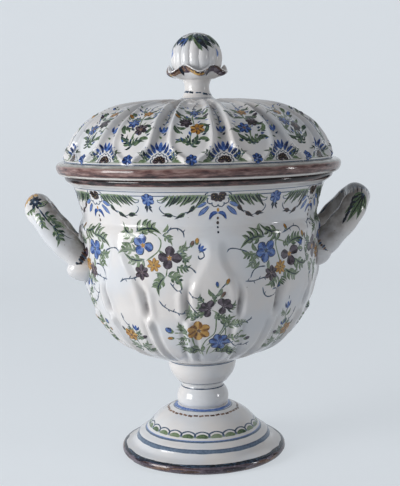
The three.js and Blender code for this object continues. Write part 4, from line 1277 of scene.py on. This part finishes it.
# Finial: a thrown neck, a calyx pinched into waves and a fluted ball, luted one on the other.
# It is the knob that the lid is lifted by.
NECK_OUTLINE = [(17.4, 308.4), (14.2, 309.8), (12, 312.6), (10.6, 317), (10.8, 321.4), (12.2, 325.2)]
NECK_INSIDE = [(2, 325.2), (2, 308.4)]
NECK_STEPS = 120
CALYX_OUTLINE = [(12.2, 325.2), (16, 326), (20, 328.4), (24.4, 331.6), (26, 333.6), (25.4, 334.9),
                 (23.6, 334.2), (21.4, 332.2), (18.6, 330.8)]
CALYX_INSIDE = [(2, 330.8), (2, 325.2)]
CALYX_STEPS = 288
FINIAL_FINENESS = 0.5
CALYX_LOBES = 6
CALYX_SPREAD = 0.06
CALYX_RUFFLE = 2.8
RUFFLED_RADII = (15, 26)
BALL_RADIUS = 22
BALL_CENTRE = 343
BALL_FOOT = 331
BALL_LOBES = 16
BALL_GROOVE = 0.055
LOBE_ROUNDNESS = 0.7
GROOVED_RADII = (1.5, 12)
BALL_ROWS = 90
BALL_STEPS = 384


def ruffled(points):
    """Points of the turned calyx after its edge was pinched into waves."""
    x, y, z = np.moveaxis(points, -1, 0)
    wave = np.cos(np.arctan2(x, -y) * CALYX_LOBES) * smooth(np.hypot(x, y), *RUFFLED_RADII)
    spread = 1 + CALYX_SPREAD * wave
    return np.stack([x * spread, y * spread, z - CALYX_RUFFLE * wave], axis=-1)


def ball_relief(angle, r, z):
    """The flutes of the ball, which fade at its top."""
    lobe = np.abs(np.sin(angle * BALL_LOBES / 2)) ** LOBE_ROUNDNESS
    return -BALL_GROOVE * BALL_RADIUS * (1 - lobe) * smooth(r, *GROOVED_RADII)


neck = Skin(spline(NECK_OUTLINE, FINIAL_FINENESS))
turned("finial_neck_clay", np.vstack([neck.line, NECK_INSIDE]), NECK_STEPS, "lid", tin_glaze,
       ["finial_neck"])
calyx = Skin(spline(CALYX_OUTLINE, FINIAL_FINENESS), bend=ruffled)
shell("finial_calyx_clay", calyx, range(len(calyx.line)), CALYX_INSIDE, CALYX_STEPS, "lid", ["finial_calyx"])
ball_foot = math.asin((BALL_FOOT - BALL_CENTRE) / BALL_RADIUS)
ball_rise = np.linspace(ball_foot, math.pi / 2 - 0.02, BALL_ROWS)
ball_line = [BALL_RADIUS * np.cos(ball_rise), BALL_CENTRE + BALL_RADIUS * np.sin(ball_rise)]
ball = Skin(np.stack(ball_line, axis=1), ball_relief)
shell("finial_ball_clay", ball, range(len(ball.line)), [(1, BALL_FOOT)], BALL_STEPS, "lid", ["finial_ball"])

# Finial painting: leaves and loose strokes round the ball's shoulder, a dark edge on the calyx and dashes on
# the neck. A leaf of the ball is given by its turn round it, length up it, lean, two pigments and size.
BALL_LEAVES = ((-80, 27, 20, ("green", "line"), 0.7), (-48, 27, -35, ("line", "blue"), 0.55),
               (-27, 31, 0, ("green", "green"), 0.5), (22, 27, 38, ("green", "line"), 1.1),
               (70, 28, 10, ("green", "green"), 0.8), (108, 26, -15, ("line", "blue"), 0.8),
               (152, 26, 30, ("green", "line"), 1.1), (205, 28, 0, ("green", "green"), 0.8),
               (246, 26, -25, ("line", "green"), 1))
SHOULDER_LENGTH = 38
BELLY_LENGTH = 17
EDGE_LENGTH = calyx.length_at(333.2)
EDGE_PIGMENTS = ("purple", "brown", "purple", "ochre", "brown", "purple")
DASH_LENGTH = neck.length_at(313.4)


def ball_leaf(turn, length, lean, pigments, size):
    """A broad leaf of strokes set side by side in two oxides, with dark edges, on the ball's upper half."""
    patch = placed(ball.patch(turn, length), 0, 0, lean, size)
    for k in range(5):
        x = 3.9 * (k - 2)
        blade = [(0.4 * x, 12 - 0.4 * abs(x)), (0.9 * x, 2), (1.15 * x, -8 + 0.07 * x * x)]
        dab(patch, pigments[k % 2], blade, 5.4, "leaf", hand.uniform(0.75, 1), 1 + k % 2)
        dab(patch, "line", [(bx + 1.6, by) for bx, by in blade], 1.5, "comma", 0.95, 3)


for row in BALL_LEAVES:
    ball_leaf(*row)
for turn in range(0, 360, 60):
    dab(ball.patch(turn, SHOULDER_LENGTH), "line", [(-3, -3), (0, 0), (1, 3)], 3.4, "leaf", 0.95)
    dab(ball.patch(turn + 30, SHOULDER_LENGTH), "green", [(2, -3), (0, 0), (-1, 3)], 3, "leaf", 0.9)
for turn in (-86, -78, 48, 170):
    dab(ball.patch(turn, BELLY_LENGTH), "blue", [(0, -4), (1, 0), (0, 4)], 2.4, "leaf", 0.42)

for turn in range(0, 360, 10):
    edge = calyx.patch(turn, EDGE_LENGTH)
    pigment = EDGE_PIGMENTS[int(hand.integers(0, len(EDGE_PIGMENTS)))]
    dab(edge, pigment, [(-4, -3.4 + hand.normal(0, 0.8)), (4, -3.2 + hand.normal(0, 0.8))], 7, "petal",
        hand.uniform(0.3, 0.6))
    dab(edge, "brown" if turn % 3 else "purple", [(-3.6, -0.6 + hand.normal(0, 0.4)), (3.4, -0.5)], 3,
        "petal", hand.uniform(0.6, 0.95), 2)
# Four dark strokes down the calyx: painted shade of the deep folds in its pinched edge.
for turn in (18, 128, 245, 320):
    dab(calyx.patch(turn, EDGE_LENGTH), "line", [(0, 1), (0.4, -4), (0, -9)], 3.4, "leaf", 1, 3)
for turn in range(0, 360, 30):
    dash = neck.patch(turn, DASH_LENGTH - 1.5 * math.sin(math.radians(turn)))
    dab(dash, "line", [(-2.6, 0.4), (hand.uniform(1, 3), hand.normal(-0.4, 0.4))], hand.uniform(1.1, 2.2),
        "line", hand.uniform(0.6, 0.95))
ring(neck, "line", 309.4, 1.1, 0.6, sway=0.1)
paint("finial_painting", "lid")

# Table and backdrop: one sweep of matt pale grey-blue paper, which runs up behind the vase.
# The camera sees a part of it at its own colour, so that the ground stays pale under the weak lamps, and
# a little more of it up the backdrop and on the right, where the studio was brighter.
SWEEP_COLOUR = "#dfe3e8"
SWEEP_GLOW = "#f2f9ff"
GLOW_BY_HEIGHT = {"From Max": 0.4, "To Min": 0.53, "To Max": 0.565}
GLOW_BY_SIDE = {"From Min": -0.6, "From Max": 0.6, "To Min": -0.02, "To Max": 0.04}
SWEEP_HALF = 3.2
SWEEP_FRONT = -2.5
BEND_FROM = 0.9
BEND_RADIUS = 0.7
BEND_ROWS = 14
SWEEP_TOP = 3.2

sweep_paper = new_material("sweep_paper")
paper_shader = add(sweep_paper, "ShaderNodeBsdfPrincipled",
                   {"Base Color": linear(SWEEP_COLOUR), "Roughness": 0.9, "Specular IOR Level": 0.1})
paper_glow = add(sweep_paper, "ShaderNodeEmission", {"Color": linear(SWEEP_GLOW), "Strength": 1.0})
paper_ray = add(sweep_paper, "ShaderNodeLightPath")
paper_seen = add(sweep_paper, "ShaderNodeMath", {"operation": "MAXIMUM"},
                 at0=paper_ray.outputs["Is Camera Ray"], at1=paper_ray.outputs["Is Glossy Ray"])
paper_place = add(sweep_paper, "ShaderNodeSeparateXYZ", {},
                  Vector=add(sweep_paper, "ShaderNodeTexCoord").outputs["Object"])
glow_up = add(sweep_paper, "ShaderNodeMapRange", GLOW_BY_HEIGHT, Value=paper_place.outputs["Z"])
glow_side = add(sweep_paper, "ShaderNodeMapRange", GLOW_BY_SIDE, Value=paper_place.outputs["X"])
glow = add(sweep_paper, "ShaderNodeMath", {"operation": "ADD"},
           at0=glow_up.outputs["Result"], at1=glow_side.outputs["Result"])
paper_share = add(sweep_paper, "ShaderNodeMath", {"operation": "MULTIPLY"},
                  at0=paper_seen.outputs["Value"], at1=glow.outputs["Value"])
paper_mix = add(sweep_paper, "ShaderNodeMixShader", {}, Fac=paper_share.outputs["Value"],
                at1=paper_shader.outputs["BSDF"], at2=paper_glow.outputs["Emission"])
add(sweep_paper, "ShaderNodeOutputMaterial", {}, Surface=paper_mix.outputs["Shader"])

bend_line = [(BEND_FROM + BEND_RADIUS * math.sin(angle), BEND_RADIUS * (1 - math.cos(angle)))
             for angle in np.linspace(0.1, math.pi / 2, BEND_ROWS)]
sweep_line = [(SWEEP_FRONT, 0), (BEND_FROM, 0), *bend_line, (BEND_FROM + BEND_RADIUS, SWEEP_TOP)]
sweep_mesh = bpy.data.meshes.new("sweep")
sweep_mesh.from_pydata([(x, y, z) for y, z in sweep_line for x in (-SWEEP_HALF, SWEEP_HALF)], [],
                       [(2 * k, 2 * k + 1, 2 * k + 3, 2 * k + 2) for k in range(len(sweep_line) - 1)])
sweep_mesh.shade_smooth()
sweep_mesh.materials.append(sweep_paper)
sweep = bpy.data.objects.new("sweep", sweep_mesh)
bpy.context.collection.objects.link(sweep)

# Light: a large soft box on the left, a narrow one on the right and a weak even sky. The sky looks
# like the paper where the camera sees past the sweep's edges.
LAMP_AIM = (0, 0, 0.2)
SKY_COLOUR = "#e6e9ee"
SKY_STRENGTH = 0.34


def soft_box(name, place, width, height, watts):
    """A rectangular lamp aimed at the vase."""
    lamp = bpy.data.lights.new(name, "AREA")
    lamp.shape = "RECTANGLE"
    lamp.size = width
    lamp.size_y = height
    lamp.energy = watts
    box = bpy.data.objects.new(name, lamp)
    bpy.context.collection.objects.link(box)
    box.location = place
    box.rotation_euler = (Vector(LAMP_AIM) - Vector(place)).to_track_quat("-Z", "Y").to_euler()


soft_box("left_soft_box", (-1.55, -0.55, 0.46), 0.8, 0.9, 22)
soft_box("right_strip", (1.35, -0.55, 0.42), 0.13, 0.3, 2.4)

sky = bpy.data.worlds.new("sky")
bpy.context.scene.world = sky
sky.use_nodes = True
sky_light = sky.node_tree.nodes["Background"]
sky_light.inputs["Color"].default_value = linear(SKY_COLOUR)
sky_light.inputs["Strength"].default_value = SKY_STRENGTH
sky_ray = add(sky, "ShaderNodeLightPath")
sky_seen = add(sky, "ShaderNodeBackground", {"Color": linear(SWEEP_COLOUR), "Strength": 1.0})
sky_mix = add(sky, "ShaderNodeMixShader", {}, Fac=sky_ray.outputs["Is Camera Ray"],
              at1=sky_light.outputs["Background"], at2=sky_seen.outputs["Background"])
add(sky, "ShaderNodeOutputWorld", {"is_active_output": True}, Surface=sky_mix.outputs["Shader"])
bpy.context.scene.view_settings.view_transform = "Standard"
